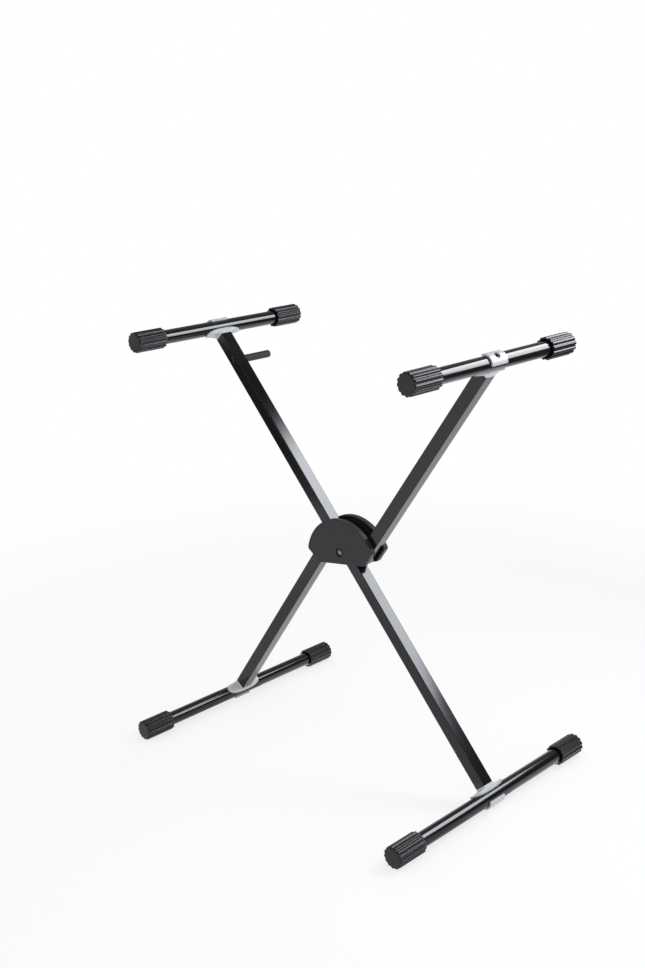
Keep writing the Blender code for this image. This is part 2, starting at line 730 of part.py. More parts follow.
def add_height_lock():
    """Pin, carrier, pull rod and release peg, which slide together against the return spring."""
    pin = round_shape(PIN_RADIUS, -PIN_HALF_LENGTH, PIN_HALF_LENGTH, PIN_SIDES, "Y", (0, PIN_SEAT))
    add_part("lock_pin", pin, release, zinc_steel)
    rod_start = CARRIER_END - 2 * ROD_ENTRY
    rod_end = PEG_AT - PEG_BLOCK_HALF + ROD_ENTRY
    add_slider(
        "pin_carrier", PIN_SEAT - CARRIER_BACK, CARRIER_END, PIN_SEAT, PIN_RADIUS,
        rod_start - GAP, CARRIER_END + CUT_OVER,
    )
    add_part("pull_rod", round_shape(ROD_RADIUS, rod_start, rod_end, PIN_SIDES), release, zinc_steel)
    add_slider(
        "peg_block", PEG_AT - PEG_BLOCK_HALF, PEG_AT + PEG_BLOCK_HALF, PEG_AT, PEG_BOLT_RADIUS,
        PEG_AT - PEG_BLOCK_HALF - CUT_OVER, rod_end + GAP,
    )
    bolt_end = PEG_REACH - GRIP_TIP - GAP
    bolt = round_shape(PEG_BOLT_RADIUS, GAP - HALF_SIDE, bolt_end, PIN_SIDES, "Y", (0, PEG_AT))
    add_part("peg_bolt", bolt, release, blackened_steel)
    add_grip()
    add_spring()
    add_spring_stop()


def add_grip():
    """A rubber sleeve with a round nose over the release peg's bolt."""
    nose = []
    for i in range(DOME_STEPS + 1):
        bend = pi / 2 * i / DOME_STEPS
        nose.append((GRIP_RADIUS * sin(bend), PEG_REACH - GRIP_TIP * (1 - cos(bend))))
    start = HALF_SIDE + RUNNING_GAP
    bore = PEG_BOLT_RADIUS + GAP
    bottom = PEG_REACH - GRIP_TIP
    profile = nose + [(GRIP_RADIUS, start), (bore, start), (bore, bottom), (0, bottom)]
    turned("peg_grip", profile, release, cap_rubber, at=(0, PEG_AT))


def add_spring():
    """The return spring round the rod, between the pin carrier and the fixed stop."""
    first = CARRIER_END + GAP + SPRING_WIRE
    last = STOP_START - GAP - SPRING_WIRE
    count = SPRING_TURNS * SPRING_POINTS
    curve = bpy.data.curves.new("return_spring", "CURVE")
    curve.dimensions = "3D"
    curve.bevel_depth = SPRING_WIRE
    curve.bevel_resolution = 1
    curve.use_fill_caps = True
    spline = curve.splines.new("POLY")
    spline.points.add(count)
    for i, point in enumerate(spline.points):
        turn = 2 * pi * i / SPRING_POINTS
        height = first + (last - first) * i / count
        point.co = (SPRING_RADIUS * cos(turn), SPRING_RADIUS * sin(turn), height, 1)
    curve.materials.append(spring_steel)
    add_object("return_spring", curve, release, parts)


def add_spring_stop():
    """A block pressed into the main arm that the return spring pushes against."""
    end = STOP_START + STOP_LENGTH
    stop = add_part("spring_stop", box_shape(SLIDER_SIDE, STOP_START, end), main_arm, bearing_plastic)
    hole = round_shape(ROD_RADIUS + RUNNING_GAP, STOP_START - CUT_OVER, end + CUT_OVER, PIN_SIDES)
    combine(stop, "spring_stop_hole", hole, main_arm)


for old in list(bpy.data.objects):
    bpy.data.objects.remove(old, do_unlink=True)

parts = make_collection(OBJECT_NAME)
cutters = make_collection("cutters")
cutters.hide_render = True

black_enamel = make_material("black_enamel", (0.006, 0.006, 0.007), 0.12)
shell_plastic = make_material("shell_plastic", (0.026, 0.025, 0.029), 0.5)
black_plastic = make_material("black_plastic", (0.02, 0.02, 0.021), 0.45)
bearing_plastic = make_material("bearing_plastic", (0.013, 0.013, 0.014), 0.36)
cap_rubber = make_material("cap_rubber", (0.009, 0.009, 0.01), 0.35)
cast_grey = make_material("cast_grey", (0.6, 0.61, 0.65), 0.4)
blackened_steel = make_material("blackened_steel", (0.04, 0.038, 0.038), 0.35, 0.6)
zinc_steel = make_material("zinc_steel", (0.35, 0.33, 0.31), 0.35, 1.0)
spring_steel = make_material("spring_steel", (0.4, 0.4, 0.42), 0.35, 1.0)

pivot = Matrix.Translation((0, 0, PIVOT_HEIGHT))
link_arm = make_frame("link_arm", pivot @ Matrix.Rotation(LINK_LEAN, 4, "Y"))
main_arm = make_frame("main_arm", pivot @ Matrix.Rotation(-ARM_LEAN, 4, "Y"))
release = make_frame("release", Matrix.Identity(4), main_arm)
rear_half = make_frame("rear_half", Matrix.Rotation(pi, 4, Vector((-1, 0, 1))), link_arm)

add_main_arm()
add_link_tube("upper_link", 1)
add_link_tube("lower_link", -1)
add_hub_plate("front_hub_plate", -1)
add_hub_plate("rear_hub_plate", 1)
add_hub_shell("front_shell", link_arm)
add_hub_shell("rear_shell", rear_half)
add_pivot()
add_cross_bar("left_top", main_arm, -ARM_LEAN, 0, ARM_REACH, TOP_BAR_LENGTH, UP, UP)
add_cross_bar("right_floor", main_arm, -ARM_LEAN, 0, -ARM_REACH, FLOOR_BAR_LENGTH, DOWN, DOWN)
add_cross_bar("right_top", link_arm, LINK_LEAN, LINK_OFFSET, LINK_REACH, TOP_BAR_LENGTH, DOWN, UP)
add_cross_bar("left_floor", link_arm, LINK_LEAN, -LINK_OFFSET, -LINK_REACH, FLOOR_BAR_LENGTH, DOWN, DOWN)
add_height_lock()
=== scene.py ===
"""Looks of a folding cross-frame keyboard stand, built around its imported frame.

Metres, +Z up. The file follows the stand as it is put together: arm tubes, then cross bars with their
caps, saddles, clamps and screws, then the hub and the height lock, and last the camera and the studio.
"""

import json
from math import asin, atan2, cos, pi, radians, sin, sqrt

import bmesh
import bpy
from mathutils import Matrix, Vector


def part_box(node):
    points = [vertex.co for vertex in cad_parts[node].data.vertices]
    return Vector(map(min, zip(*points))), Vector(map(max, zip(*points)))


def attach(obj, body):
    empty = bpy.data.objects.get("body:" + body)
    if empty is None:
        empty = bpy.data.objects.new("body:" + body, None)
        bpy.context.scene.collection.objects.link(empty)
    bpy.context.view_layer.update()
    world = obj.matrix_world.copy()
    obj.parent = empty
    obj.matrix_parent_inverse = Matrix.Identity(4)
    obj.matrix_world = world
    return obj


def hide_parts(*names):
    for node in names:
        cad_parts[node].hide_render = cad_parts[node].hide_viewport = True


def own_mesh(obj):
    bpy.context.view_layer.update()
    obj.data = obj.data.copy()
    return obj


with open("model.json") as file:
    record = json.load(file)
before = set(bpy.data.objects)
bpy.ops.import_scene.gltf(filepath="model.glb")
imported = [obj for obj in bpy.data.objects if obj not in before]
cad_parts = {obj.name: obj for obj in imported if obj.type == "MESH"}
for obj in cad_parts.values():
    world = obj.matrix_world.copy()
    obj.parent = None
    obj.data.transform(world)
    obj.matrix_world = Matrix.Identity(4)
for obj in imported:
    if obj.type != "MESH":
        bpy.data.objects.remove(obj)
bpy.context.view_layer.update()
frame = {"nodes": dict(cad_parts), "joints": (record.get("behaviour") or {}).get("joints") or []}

# Arm tubes
# Square steel tube with soft corners, cut square at both ends and coated in gloss black enamel.
# One long tube runs through the hub, and two shorter ones end at its plates.

joints = {joint["name"]: joint for joint in frame["joints"]}
PIVOT = Vector(joints["fold"]["pos_m"])
SLIDE = Vector(joints["release_pull"]["axis"])
ARM_LEAN = atan2(-SLIDE.x, SLIDE.z)
OPENING = radians(-joints["fold"]["range_deg"][0])

arm_place = Matrix.Translation(PIVOT) @ Matrix.Rotation(-ARM_LEAN, 4, "Y")
link_place = Matrix.Translation(PIVOT) @ Matrix.Rotation(OPENING - ARM_LEAN, 4, "Y")

GAP = 0.0003
CUT_OVER = 0.002
TUBE_SIDE = 0.0222
TUBE_WALL = 0.0015
TUBE_CORNER = 0.0016
TUBE_EDGE = 0.00025
ARM_REACH = 0.475
LINK_REACH = 0.4788
LINK_OFFSET = 0.0373
LINK_START = 0.0198
BAR_RADIUS = 0.0125
SADDLE_NECK = 0.0072
TUBE_TO_BAR = BAR_RADIUS + SADDLE_NECK
HALF_SIDE = TUBE_SIDE / 2

SOFT_BLACK = (0.0045, 0.0042, 0.0056, 1)
THIN_BLACK = (0.007, 0.0066, 0.0084, 1)
COOL_SHEEN = (0.91, 0.915, 1, 1)


class Signal:
    """A value on its way between nodes, so that shader maths is written as plain Python."""

    def __init__(self, recipe, socket):
        self.recipe = recipe
        self.socket = socket

    def math(self, operation, first, second):
        return self.recipe.node("ShaderNodeMath", 0, {0: first, 1: second}, operation=operation)

    def __add__(self, other):
        return self.math("ADD", self, other)

    def __sub__(self, other):
        return self.math("SUBTRACT", self, other)

    def __rsub__(self, other):
        return self.math("SUBTRACT", other, self)

    def __mul__(self, other):
        return self.math("MULTIPLY", self, other)

    def most(self, other):
        return self.math("MAXIMUM", self, other)

    def __abs__(self):
        return self.most(0.0 - self)

    __radd__ = __add__
    __rmul__ = __mul__


class Recipe:
    """The nodes of one material or of the surround, all made by one method."""

    def __init__(self, tree):
        self.tree = tree

    def node(self, kind, output, sockets, **settings):
        """A node with its settings and its sockets' values or links, as the signal of one output."""
        made = self.tree.nodes.new(kind)
        for name, value in settings.items():
            setattr(made, name, value)
        for name, value in sockets.items():
            self.feed(made.inputs[name], value)
        return Signal(self, made.outputs[output])

    def feed(self, socket, value):
        if isinstance(value, Signal):
            self.tree.links.new(value.socket, socket)
        else:
            socket.default_value = value


class Finish(Recipe):
    """A material built up from named steps. Its place is a point's place on the stand."""

    def __init__(self, name, **constants):
        self.material = bpy.data.materials.new(name)
        self.material.use_nodes = True
        super().__init__(self.material.node_tree)
        self.shader = self.tree.nodes["Principled BSDF"]
        for word, value in constants.items():
            socket = word.replace("_", " ").title().replace("Ior", "IOR")
            self.shader.inputs[socket].default_value = value
        self.place = self.node("ShaderNodeTexCoord", "Object", {})

    def noise(self, scale, detail=2.0, place=None):
        where = place or self.place
        return self.node("ShaderNodeTexNoise", 0, {"Vector": where, "Scale": scale, "Detail": detail})

    def drawn_along_y(self, share):
        """The place with Y scaled to a share, which draws a pattern out along Y."""
        return self.node("ShaderNodeMapping", 0, {"Vector": self.place, "Scale": (1, share, 1)})

    def band(self, value, low, high):
        sockets = {"Value": value, "From Min": low, "From Max": high}
        return self.node("ShaderNodeMapRange", 0, sockets, interpolation_type="SMOOTHSTEP")

    def blend(self, factor, first, second):
        return self.node("ShaderNodeMix", 2, {0: factor, 6: first, 7: second}, data_type="RGBA")

    def bump(self, height, depth):
        sockets = {"Height": height, "Distance": depth, "Strength": 1.0}
        self.feed(self.shader.inputs["Normal"], self.node("ShaderNodeBump", 0, sockets))

    def set(self, name, value):
        self.feed(self.shader.inputs[name], value)

    def show(self, shader):
        """Gives the surface another shader than the material's own."""
        self.feed(self.tree.nodes["Material Output"].inputs["Surface"], shader)


def gloss_enamel():
    """Sprayed and baked black: a faint orange peel, with the gloss drifting a little along a tube."""
    finish = Finish("gloss_black_enamel", specular_tint=COOL_SHEEN)
    drift = finish.noise(scale=14, detail=3)
    peel = finish.noise(scale=260, detail=1)
    finish.set("Base Color", finish.blend(drift, SOFT_BLACK, THIN_BLACK))
    finish.set("Roughness", 0.1 + 0.05 * drift)
    finish.bump(peel, depth=0.000001)
    return finish.material


def new_piece(name, shape, material):
    mesh = bpy.data.meshes.new(name)
    shape.to_mesh(mesh)
    shape.free()
    mesh.materials.append(material)
    piece = bpy.data.objects.new(name, mesh)
    bpy.context.scene.collection.objects.link(piece)
    return piece


def carved(shape, tool, operation="DIFFERENCE"):
    """The shape with a tool's shape taken out of it, or joined on."""
    piece = new_piece("work", shape, enamel)
    cutter = new_piece("cutter", tool, enamel)
    modifier = piece.modifiers.new("carve", "BOOLEAN")
    modifier.operation = operation
    modifier.solver = "EXACT"
    modifier.object = cutter
    result = piece.evaluated_get(bpy.context.evaluated_depsgraph_get())
    made = bmesh.new()
    made.from_mesh(result.to_mesh())
    bpy.data.objects.remove(piece)
    bpy.data.objects.remove(cutter)
    return made


def round_edges(shape, width, segments=2, angle=radians(40)):
    """Rounds every edge that turns by more than the angle."""
    sharp = [edge for edge in shape.edges if edge.is_manifold and edge.calc_face_angle() > angle]
    bmesh.ops.bevel(
        shape, geom=sharp, offset=width, segments=segments, profile=0.5, affect="EDGES", material=-1,
        clamp_overlap=True,
    )


def fit(name, shape, place, material, body, replaced, angle=radians(30)):
    """Puts a finished shape in its place on the stand, on the body that carries it."""
    bmesh.ops.transform(shape, matrix=place, verts=shape.verts)
    bmesh.ops.remove_doubles(shape, verts=shape.verts, dist=1e-7)
    bmesh.ops.recalc_face_normals(shape, faces=shape.faces)
    piece = new_piece(name, shape, material)
    piece.data.shade_smooth()
    piece.data.set_sharp_from_angle(angle=angle)
    weighted = piece.modifiers.new("flat faces stay flat", "WEIGHTED_NORMAL")
    weighted.keep_sharp = True
    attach(piece, body)
    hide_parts(*replaced)
    return piece


def square_bar(side, low, high, corner, segments=5):
    """A square bar along Z with its four long edges rounded."""
    shape = bmesh.new()
    size = Matrix.Diagonal((side, side, high - low, 1))
    bmesh.ops.create_cube(shape, size=1.0, matrix=Matrix.Translation((0, 0, (low + high) / 2)) @ size)
    long_edges = [edge for edge in shape.edges if abs(edge.verts[0].co.z - edge.verts[1].co.z) > GAP]
    bmesh.ops.bevel(
        shape, geom=long_edges, offset=corner, segments=segments, profile=0.5, affect="EDGES",
        material=-1,
    )
    return shape


def round_bar(radius, low, high, sides=48, top=None):
    """A round bar along Z, or a cone where its top radius differs."""
    shape = bmesh.new()
    bmesh.ops.create_cone(
        shape, cap_ends=True, segments=sides, radius1=radius, radius2=radius if top is None else top,
        depth=high - low, matrix=Matrix.Translation((0, 0, (low + high) / 2)),
    )
    return shape


ALONG_Y = Matrix.Rotation(-pi / 2, 4, "X")


def across_tube(radius, at, stretch=0.0):
    """A drill through a tube along Y, drawn out along Z to make a slot."""
    depth = HALF_SIDE + CUT_OVER
    shape = round_bar(radius, -depth, depth)
    bmesh.ops.transform(shape, matrix=Matrix.Translation((0, 0, at)) @ ALONG_Y, verts=shape.verts)
    middle = at + radius / 1000
    for vert in shape.verts:
        if vert.co.z > middle:
            vert.co.z += stretch
    return shape


def square_tube(low, high, openings=()):
    """A square tube along Z with its bore, drilled and slotted, its cut edges softened by the coating."""
    shape = square_bar(TUBE_SIDE, low, high, TUBE_CORNER)
    inside = TUBE_SIDE - 2 * TUBE_WALL
    bore = square_bar(inside, low - CUT_OVER, high + CUT_OVER, TUBE_CORNER / 2, segments=2)
    shape = carved(shape, bore)
    for opening in openings:
        shape = carved(shape, opening)
    round_edges(shape, TUBE_EDGE)
    return shape


PIN_RADIUS = 0.0035
PIN_SEAT = 0.041
TRAVEL = joints["release_pull"]["range_m"][1]
PEG_BOLT_RADIUS = 0.004
PEG_AT = 0.402
BUSH_RADIUS = 0.0061
RIVET_RADIUS = 0.003
RIVET_PLACES = (0.033, 0.0445)

enamel = gloss_enamel()

arm_half = ARM_REACH - TUBE_TO_BAR
arm_openings = [
    across_tube(BUSH_RADIUS + GAP, 0),
    across_tube(PIN_RADIUS + GAP, PIN_SEAT, TRAVEL),
    across_tube(PEG_BOLT_RADIUS + GAP, PEG_AT, TRAVEL),
]
fit("main_arm_enamelled", square_tube(-arm_half, arm_half, arm_openings), arm_place, enamel,
    "main_arm", ["main_arm_tube"])

for link, turn in (("upper_link", 0), ("lower_link", pi)):
    holes = [across_tube(RIVET_RADIUS + GAP, place) for place in RIVET_PLACES]
    place = link_place @ Matrix.Rotation(turn, 4, "Y") @ Matrix.Translation((LINK_OFFSET, 0, 0))
    fit(link + "_enamelled", square_tube(LINK_START, LINK_REACH - TUBE_TO_BAR, holes), place, enamel,
        "link_frame", [link + "_tube"])

# Cross bars
# Round steel tube, 25 mm, in the same gloss black enamel, drilled once for its clamp screw.
# Its two raw ends are inside the caps.

BAR_WALL = 0.0015
BAR_EDGE = 0.0004
SCREW_RADIUS = 0.003
PLACE_DIGITS = 7
BARS = {
    "left_top": ("main_arm", arm_place),
    "right_floor": ("main_arm", arm_place),
    "right_top": ("link_frame", link_place),
    "left_floor": ("link_frame", link_place),
}


def put_in_order(shape):
    """Sorts the points, edges and faces by place, because spin leaves their order to chance."""
    kinds = (
        (shape.verts, lambda vert: vert.co),
        (shape.edges, lambda edge: edge.verts[0].co + edge.verts[1].co),
        (shape.faces, lambda face: face.calc_center_median()),
    )
    for items, place in kinds:
        ranked = sorted(items, key=lambda item: [round(part, PLACE_DIGITS) for part in place(item)])
        ranks = {item: rank for rank, item in enumerate(ranked)}
        items.sort(key=ranks.get)


def turned(profile, sides=64, closed=False):
    """A piece turned about Z from a profile of radii and heights."""
    shape = bmesh.new()
    verts = [shape.verts.new((radius, 0, height)) for radius, height in profile]
    pairs = list(zip(verts, verts[1:]))
    if closed:
        pairs.append((verts[-1], verts[0]))
    edges = [shape.edges.new(pair) for pair in pairs]
    bmesh.ops.spin(
        shape, geom=verts + edges, cent=(0, 0, 0), axis=(0, 0, 1), angle=2 * pi, steps=sides,
        use_merge=True,
    )
    bmesh.ops.remove_doubles(shape, verts=shape.verts, dist=1e-6)
    put_in_order(shape)
    bmesh.ops.recalc_face_normals(shape, faces=shape.faces)
    return shape


def bar_frame(bar):
    """Where a bar's middle is. Its Z points from the bar to the arm tube that carries it."""
    low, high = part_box(bar + "_bar")
    middle = (low + high) / 2
    turn = BARS[bar][1].to_3x3().to_4x4()
    if middle.z > PIVOT.z:
        turn = turn @ Matrix.Rotation(pi, 4, "Y")
    return Matrix.Translation(middle) @ turn, (high.y - low.y) / 2


for bar, (body, _) in BARS.items():
    place, half = bar_frame(bar)
    inner = BAR_RADIUS - BAR_WALL
    profile = [
        (inner, half), (BAR_RADIUS - BAR_EDGE, half), (BAR_RADIUS, half - BAR_EDGE),
        (BAR_RADIUS, BAR_EDGE - half), (BAR_RADIUS - BAR_EDGE, -half), (inner, -half),
    ]
    tube = turned(profile, sides=96, closed=True)
    bmesh.ops.transform(tube, matrix=ALONG_Y, verts=tube.verts)
    reach = BAR_RADIUS + CUT_OVER
    tube = carved(tube, round_bar(SCREW_RADIUS + GAP, -reach, reach, sides=24))
    fit(bar + "_round_tube", tube, place, enamel, body, [bar + "_bar"])

# Caps
# Black rubber mouldings pushed over the bars' ends, with thirteen flat-topped ribs round them and a
# mouth that stands clear of the bar. They grip the floor below and a keyboard's underside above.

CAP_RADIUS = 0.0182
CAP_LENGTH = 0.0595
CAP_END = 0.004
CAP_CHAMFER = 0.0026
CAP_DISC = 0.0142
CAP_END_SHARE = 0.8
CAP_BEND_STEPS = 5
RIB_COUNT = 13
RIB_HEIGHT = 0.0021
RIB_TOP = 0.0034
RIB_FOOT = 0.0055
RIB_ROUND = 0.0012
RIB_BEND_STEPS = 4
CAP_MOUTH_EDGE = 0.0004
CAP_MOUTH_RADIUS = 0.0149
CAP_MOUTH_DEPTH = 0.007
CAP_MOUTH_SHARE = 0.15
RUBBER_DARK = (0.006, 0.0058, 0.0068, 1)
RUBBER_PALE = (0.011, 0.0106, 0.0122, 1)


def cap_rubber():
    """Moulded rubber: a fine even grain, a little bloom, and a duller cast than the enamel."""
    finish = Finish("ribbed_rubber", specular_ior_level=0.42, specular_tint=COOL_SHEEN)
    mottle = finish.noise(scale=60, detail=4)
    grain = finish.noise(scale=2600, detail=3)
    rubbed = finish.noise(scale=180, place=finish.drawn_along_y(0.2))
    finish.set("Base Color", finish.blend(mottle * 0.6 + grain * 0.4, RUBBER_DARK, RUBBER_PALE))
    finish.set("Roughness", 0.27 + 0.05 * mottle + 0.03 * rubbed)
    finish.bump(grain + 0.6 * rubbed, depth=0.0000005)
    return finish.material


def cap_outline():
    """One ring of the ribs' profile round Z, a rib towards X, with every corner rounded."""
    valley = CAP_RADIUS - RIB_HEIGHT
    rib = [(-RIB_FOOT / 2, valley), (-RIB_TOP / 2, CAP_RADIUS)]
    rib += [(RIB_TOP / 2, CAP_RADIUS), (RIB_FOOT / 2, valley)]
    corners = []
    for number in range(RIB_COUNT):
        turn = Matrix.Rotation(2 * pi * number / RIB_COUNT, 4, "Z")
        corners += [turn @ Vector((out, along, 0)) for along, out in rib]
    ring = []
    for corner, before, after in zip(corners, corners[-1:] + corners[:-1], corners[1:] + corners[:1]):
        start = corner + (before - corner).normalized() * RIB_ROUND
        end = corner + (after - corner).normalized() * RIB_ROUND
        for step in range(RIB_BEND_STEPS + 1):
            part = step / RIB_BEND_STEPS
            ring.append(start.lerp(corner, part).lerp(corner.lerp(end, part), part))
    return ring


def stacked(rings):
    """A closed skin through rings with the same number of points.

    It is bridged as a plain pillar, where no two rings share a plane, and then pulled to its shape.
    """
    shape = bmesh.new()
    count = len(rings[0])
    levels = []
    loops = []
    for level in range(len(rings)):
        turns = [2 * pi * i / count for i in range(count)]
        verts = [shape.verts.new((cos(turn), sin(turn), level)) for turn in turns]
        levels.append(verts)
        loops.append([shape.edges.new((verts[i - 1], verts[i])) for i in range(count)])
    for low, high in zip(loops, loops[1:]):
        bmesh.ops.bridge_loops(shape, edges=low + high)
    bmesh.ops.holes_fill(shape, edges=shape.edges)
    for verts, ring in zip(levels, rings):
        for vert, point in zip(verts, ring):
            vert.co = point
    bmesh.ops.recalc_face_normals(shape, faces=shape.faces)
    return shape


def ribbed_cap():
    """A cap whose mouth is at Z 0 and whose closed end is up."""
    outline = cap_outline()
    bore = BAR_RADIUS + GAP

    def ring(height, radius=None, share=1.0):
        """The outline at a height, drawn in towards a circle by the share given."""
        if radius is None:
            return [Vector((p.x, p.y, height)) for p in outline]
        circle = [p.normalized() * radius for p in outline]
        return [p.lerp(c, share) + Vector((0, 0, height)) for p, c in zip(outline, circle)]

    lip = CAP_RADIUS - RIB_HEIGHT
    slope = CAP_MOUTH_RADIUS - bore
    rings = [ring(CAP_LENGTH - CAP_END, bore), ring(CAP_MOUTH_DEPTH + slope, bore)]
    rings += [ring(CAP_MOUTH_DEPTH, CAP_MOUTH_RADIUS), ring(CAP_MOUTH_EDGE, CAP_MOUTH_RADIUS)]
    rings += [ring(0, CAP_MOUTH_RADIUS + CAP_MOUTH_EDGE), ring(0, lip, CAP_MOUTH_SHARE)]
    rings.append(ring(CAP_MOUTH_EDGE))
    for step in range(CAP_BEND_STEPS + 1):
        bend = pi / 2 * step / CAP_BEND_STEPS
        height = CAP_LENGTH - CAP_CHAMFER * (1 - sin(bend))
        rings.append(ring(height, CAP_DISC, CAP_END_SHARE * (1 - cos(bend))))
    rings.append(ring(CAP_LENGTH, CAP_DISC - CAP_CHAMFER))
    return stacked(rings)


rubber = cap_rubber()
RIB_ON_TOP = ("left_top_front_cap", "left_top_rear_cap", "right_top_rear_cap")

for bar, (body, _) in BARS.items():
    for end, side in (("front", -1), ("rear", 1)):
        node = f"{bar}_{end}_cap"
        low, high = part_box(node)
        outer = low.y if side < 0 else high.y
        centre = bar_frame(bar)[0].translation
        towards = -pi / 2 if node in RIB_ON_TOP else pi / 2
        place = Matrix.Translation((centre.x, outer - side * CAP_LENGTH, centre.z))
        place = place @ Matrix.Rotation(towards, 4, "Y") @ Matrix.Rotation(-side * pi / 2, 4, "X")
        fit(f"{bar}_rubber_cap_{end}", ribbed_cap(), place, rubber, body, [node],
            angle=radians(24))

# Saddles
# Light grey castings that carry a round bar across the end of a square arm tube. A plug sits in the
# tube, and the neck under it spreads into a thin flange that wraps the bar.

SADDLE_PLATE = 0.0026
SADDLE_HALF_LENGTH = 0.038
SADDLE_HALF_ANGLE = radians(51)
SADDLE_PLUG = 0.025
SADDLE_SIDES = 96
SADDLE_RINGS = 12
SADDLE_SQUARENESS = 0.12
SADDLE_EDGE = 0.0006
SADDLE_FULLNESS = 0.78
SADDLE_RIM_SHARE = 0.88
SEAT_RADIUS = BAR_RADIUS + GAP
SEAT_SHARES = (1, 0.75, 0.5, 0.25, 0.02)
CAST_CORNER = radians(50)
CAST_PALE = (0.6, 0.615, 0.65, 1)
CAST_SHADE = (0.54, 0.553, 0.585, 1)


def cast_metal():
    """Die-cast metal under silver lacquer: a soft skin with a fine grain, and a few dull patches."""
    finish = Finish("cast_grey_lacquer", metallic=0.12)
    cloud = finish.noise(scale=55, detail=4)
    grain = finish.noise(scale=1500, detail=3)
    finish.set("Base Color", finish.blend(cloud, CAST_PALE, CAST_SHADE))
    finish.set("Roughness", 0.34 + 0.1 * cloud + 0.04 * grain)
    finish.bump(0.5 * grain + finish.noise(scale=420), depth=0.000004)
    return finish.material


def fuller(value, power):
    """A sine or cosine pushed outwards, which turns an oval into one with blunt ends or into a square."""
    if abs(value) < GAP:
        return 0.0
    return abs(value) ** power * (1 if value > 0 else -1)


def neck_ring(half, height):
    """A square with slightly rounded corners, its points spread by angle."""
    ring = []
    for i in range(SADDLE_SIDES):
        turn = 2 * pi * i / SADDLE_SIDES
        across = half * fuller(cos(turn), SADDLE_SQUARENESS)
        along = half * fuller(sin(turn), SADDLE_SQUARENESS)
        ring.append(Vector((across, along, height)))
    return ring


def flange_ring(radius, share=1.0):
    """The flange's blunt oval edge wrapped on a cylinder, or a smaller oval inside it."""
    ring = []
    for i in range(SADDLE_SIDES):
        turn = 2 * pi * i / SADDLE_SIDES
        wrap = SADDLE_HALF_ANGLE * fuller(cos(turn), SADDLE_FULLNESS) * share
        along = SADDLE_HALF_LENGTH * fuller(sin(turn), SADDLE_FULLNESS) * share
        ring.append(Vector((radius * sin(wrap), along, radius * cos(wrap))))
    return ring


def cast_saddle():
    """The plug, then the neck sweeping down to the flange, whose rim lies on the bar like a plate."""
    shoulder = TUBE_TO_BAR - GAP
    plug = HALF_SIDE - TUBE_WALL - GAP
    outer = SEAT_RADIUS + SADDLE_PLATE
    rings = [neck_ring(plug, TUBE_TO_BAR + SADDLE_PLUG), neck_ring(plug, shoulder)]
    neck = neck_ring(HALF_SIDE, shoulder)
    rim = flange_ring(outer, SADDLE_RIM_SHARE)
    for step in range(SADDLE_RINGS + 1):
        spread = step / SADDLE_RINGS
        out = spread ** 2
        fall = 1 - (1 - spread) ** 2
        rings.append([
            Vector((a.x + (b.x - a.x) * out, a.y + (b.y - a.y) * out, a.z + (b.z - a.z) * fall))
            for a, b in zip(neck, rim)
        ])
    rings.append(flange_ring(outer))
    rings += [flange_ring(SEAT_RADIUS, share) for share in SEAT_SHARES]
    shape = stacked(rings)
    round_edges(shape, SADDLE_EDGE, segments=3, angle=CAST_CORNER)
    top = TUBE_TO_BAR + SADDLE_PLUG + CUT_OVER
    return carved(shape, round_bar(SCREW_RADIUS + GAP, 0, top, sides=24))


cast = cast_metal()
for bar, (body, _) in BARS.items():
    fit(bar + "_cast_saddle", cast_saddle(), bar_frame(bar)[0], cast, body, [bar + "_saddle"])

# Clamp plates
# Curved castings on the bars' far side, their edges rounded and their middle countersunk. A socket
# screw through the bar and into the saddle's plug pulls each one tight.

CLAMP_PLATE = 0.003
CLAMP_LENGTH = 0.037
CLAMP_HALF_ANGLE = radians(60)
CLAMP_CORNER = 0.0014
CLAMP_STRIPS = 28
CLAMP_EDGE = 0.0005
CLAMP_RADIUS = SEAT_RADIUS + CLAMP_PLATE
SCREW_HEAD_RADIUS = 0.0053
SCREW_HEAD_HEIGHT = 0.0019
SCREW_SINK = 0.0016
SINK_CLEAR = 0.0006
SINK_RADIUS = SCREW_HEAD_RADIUS + SINK_CLEAR
SCREW_TOP = CLAMP_RADIUS - SCREW_SINK
SCREW_SLOPE = SCREW_TOP - SCREW_HEAD_HEIGHT
CORNER_STEPS = 5


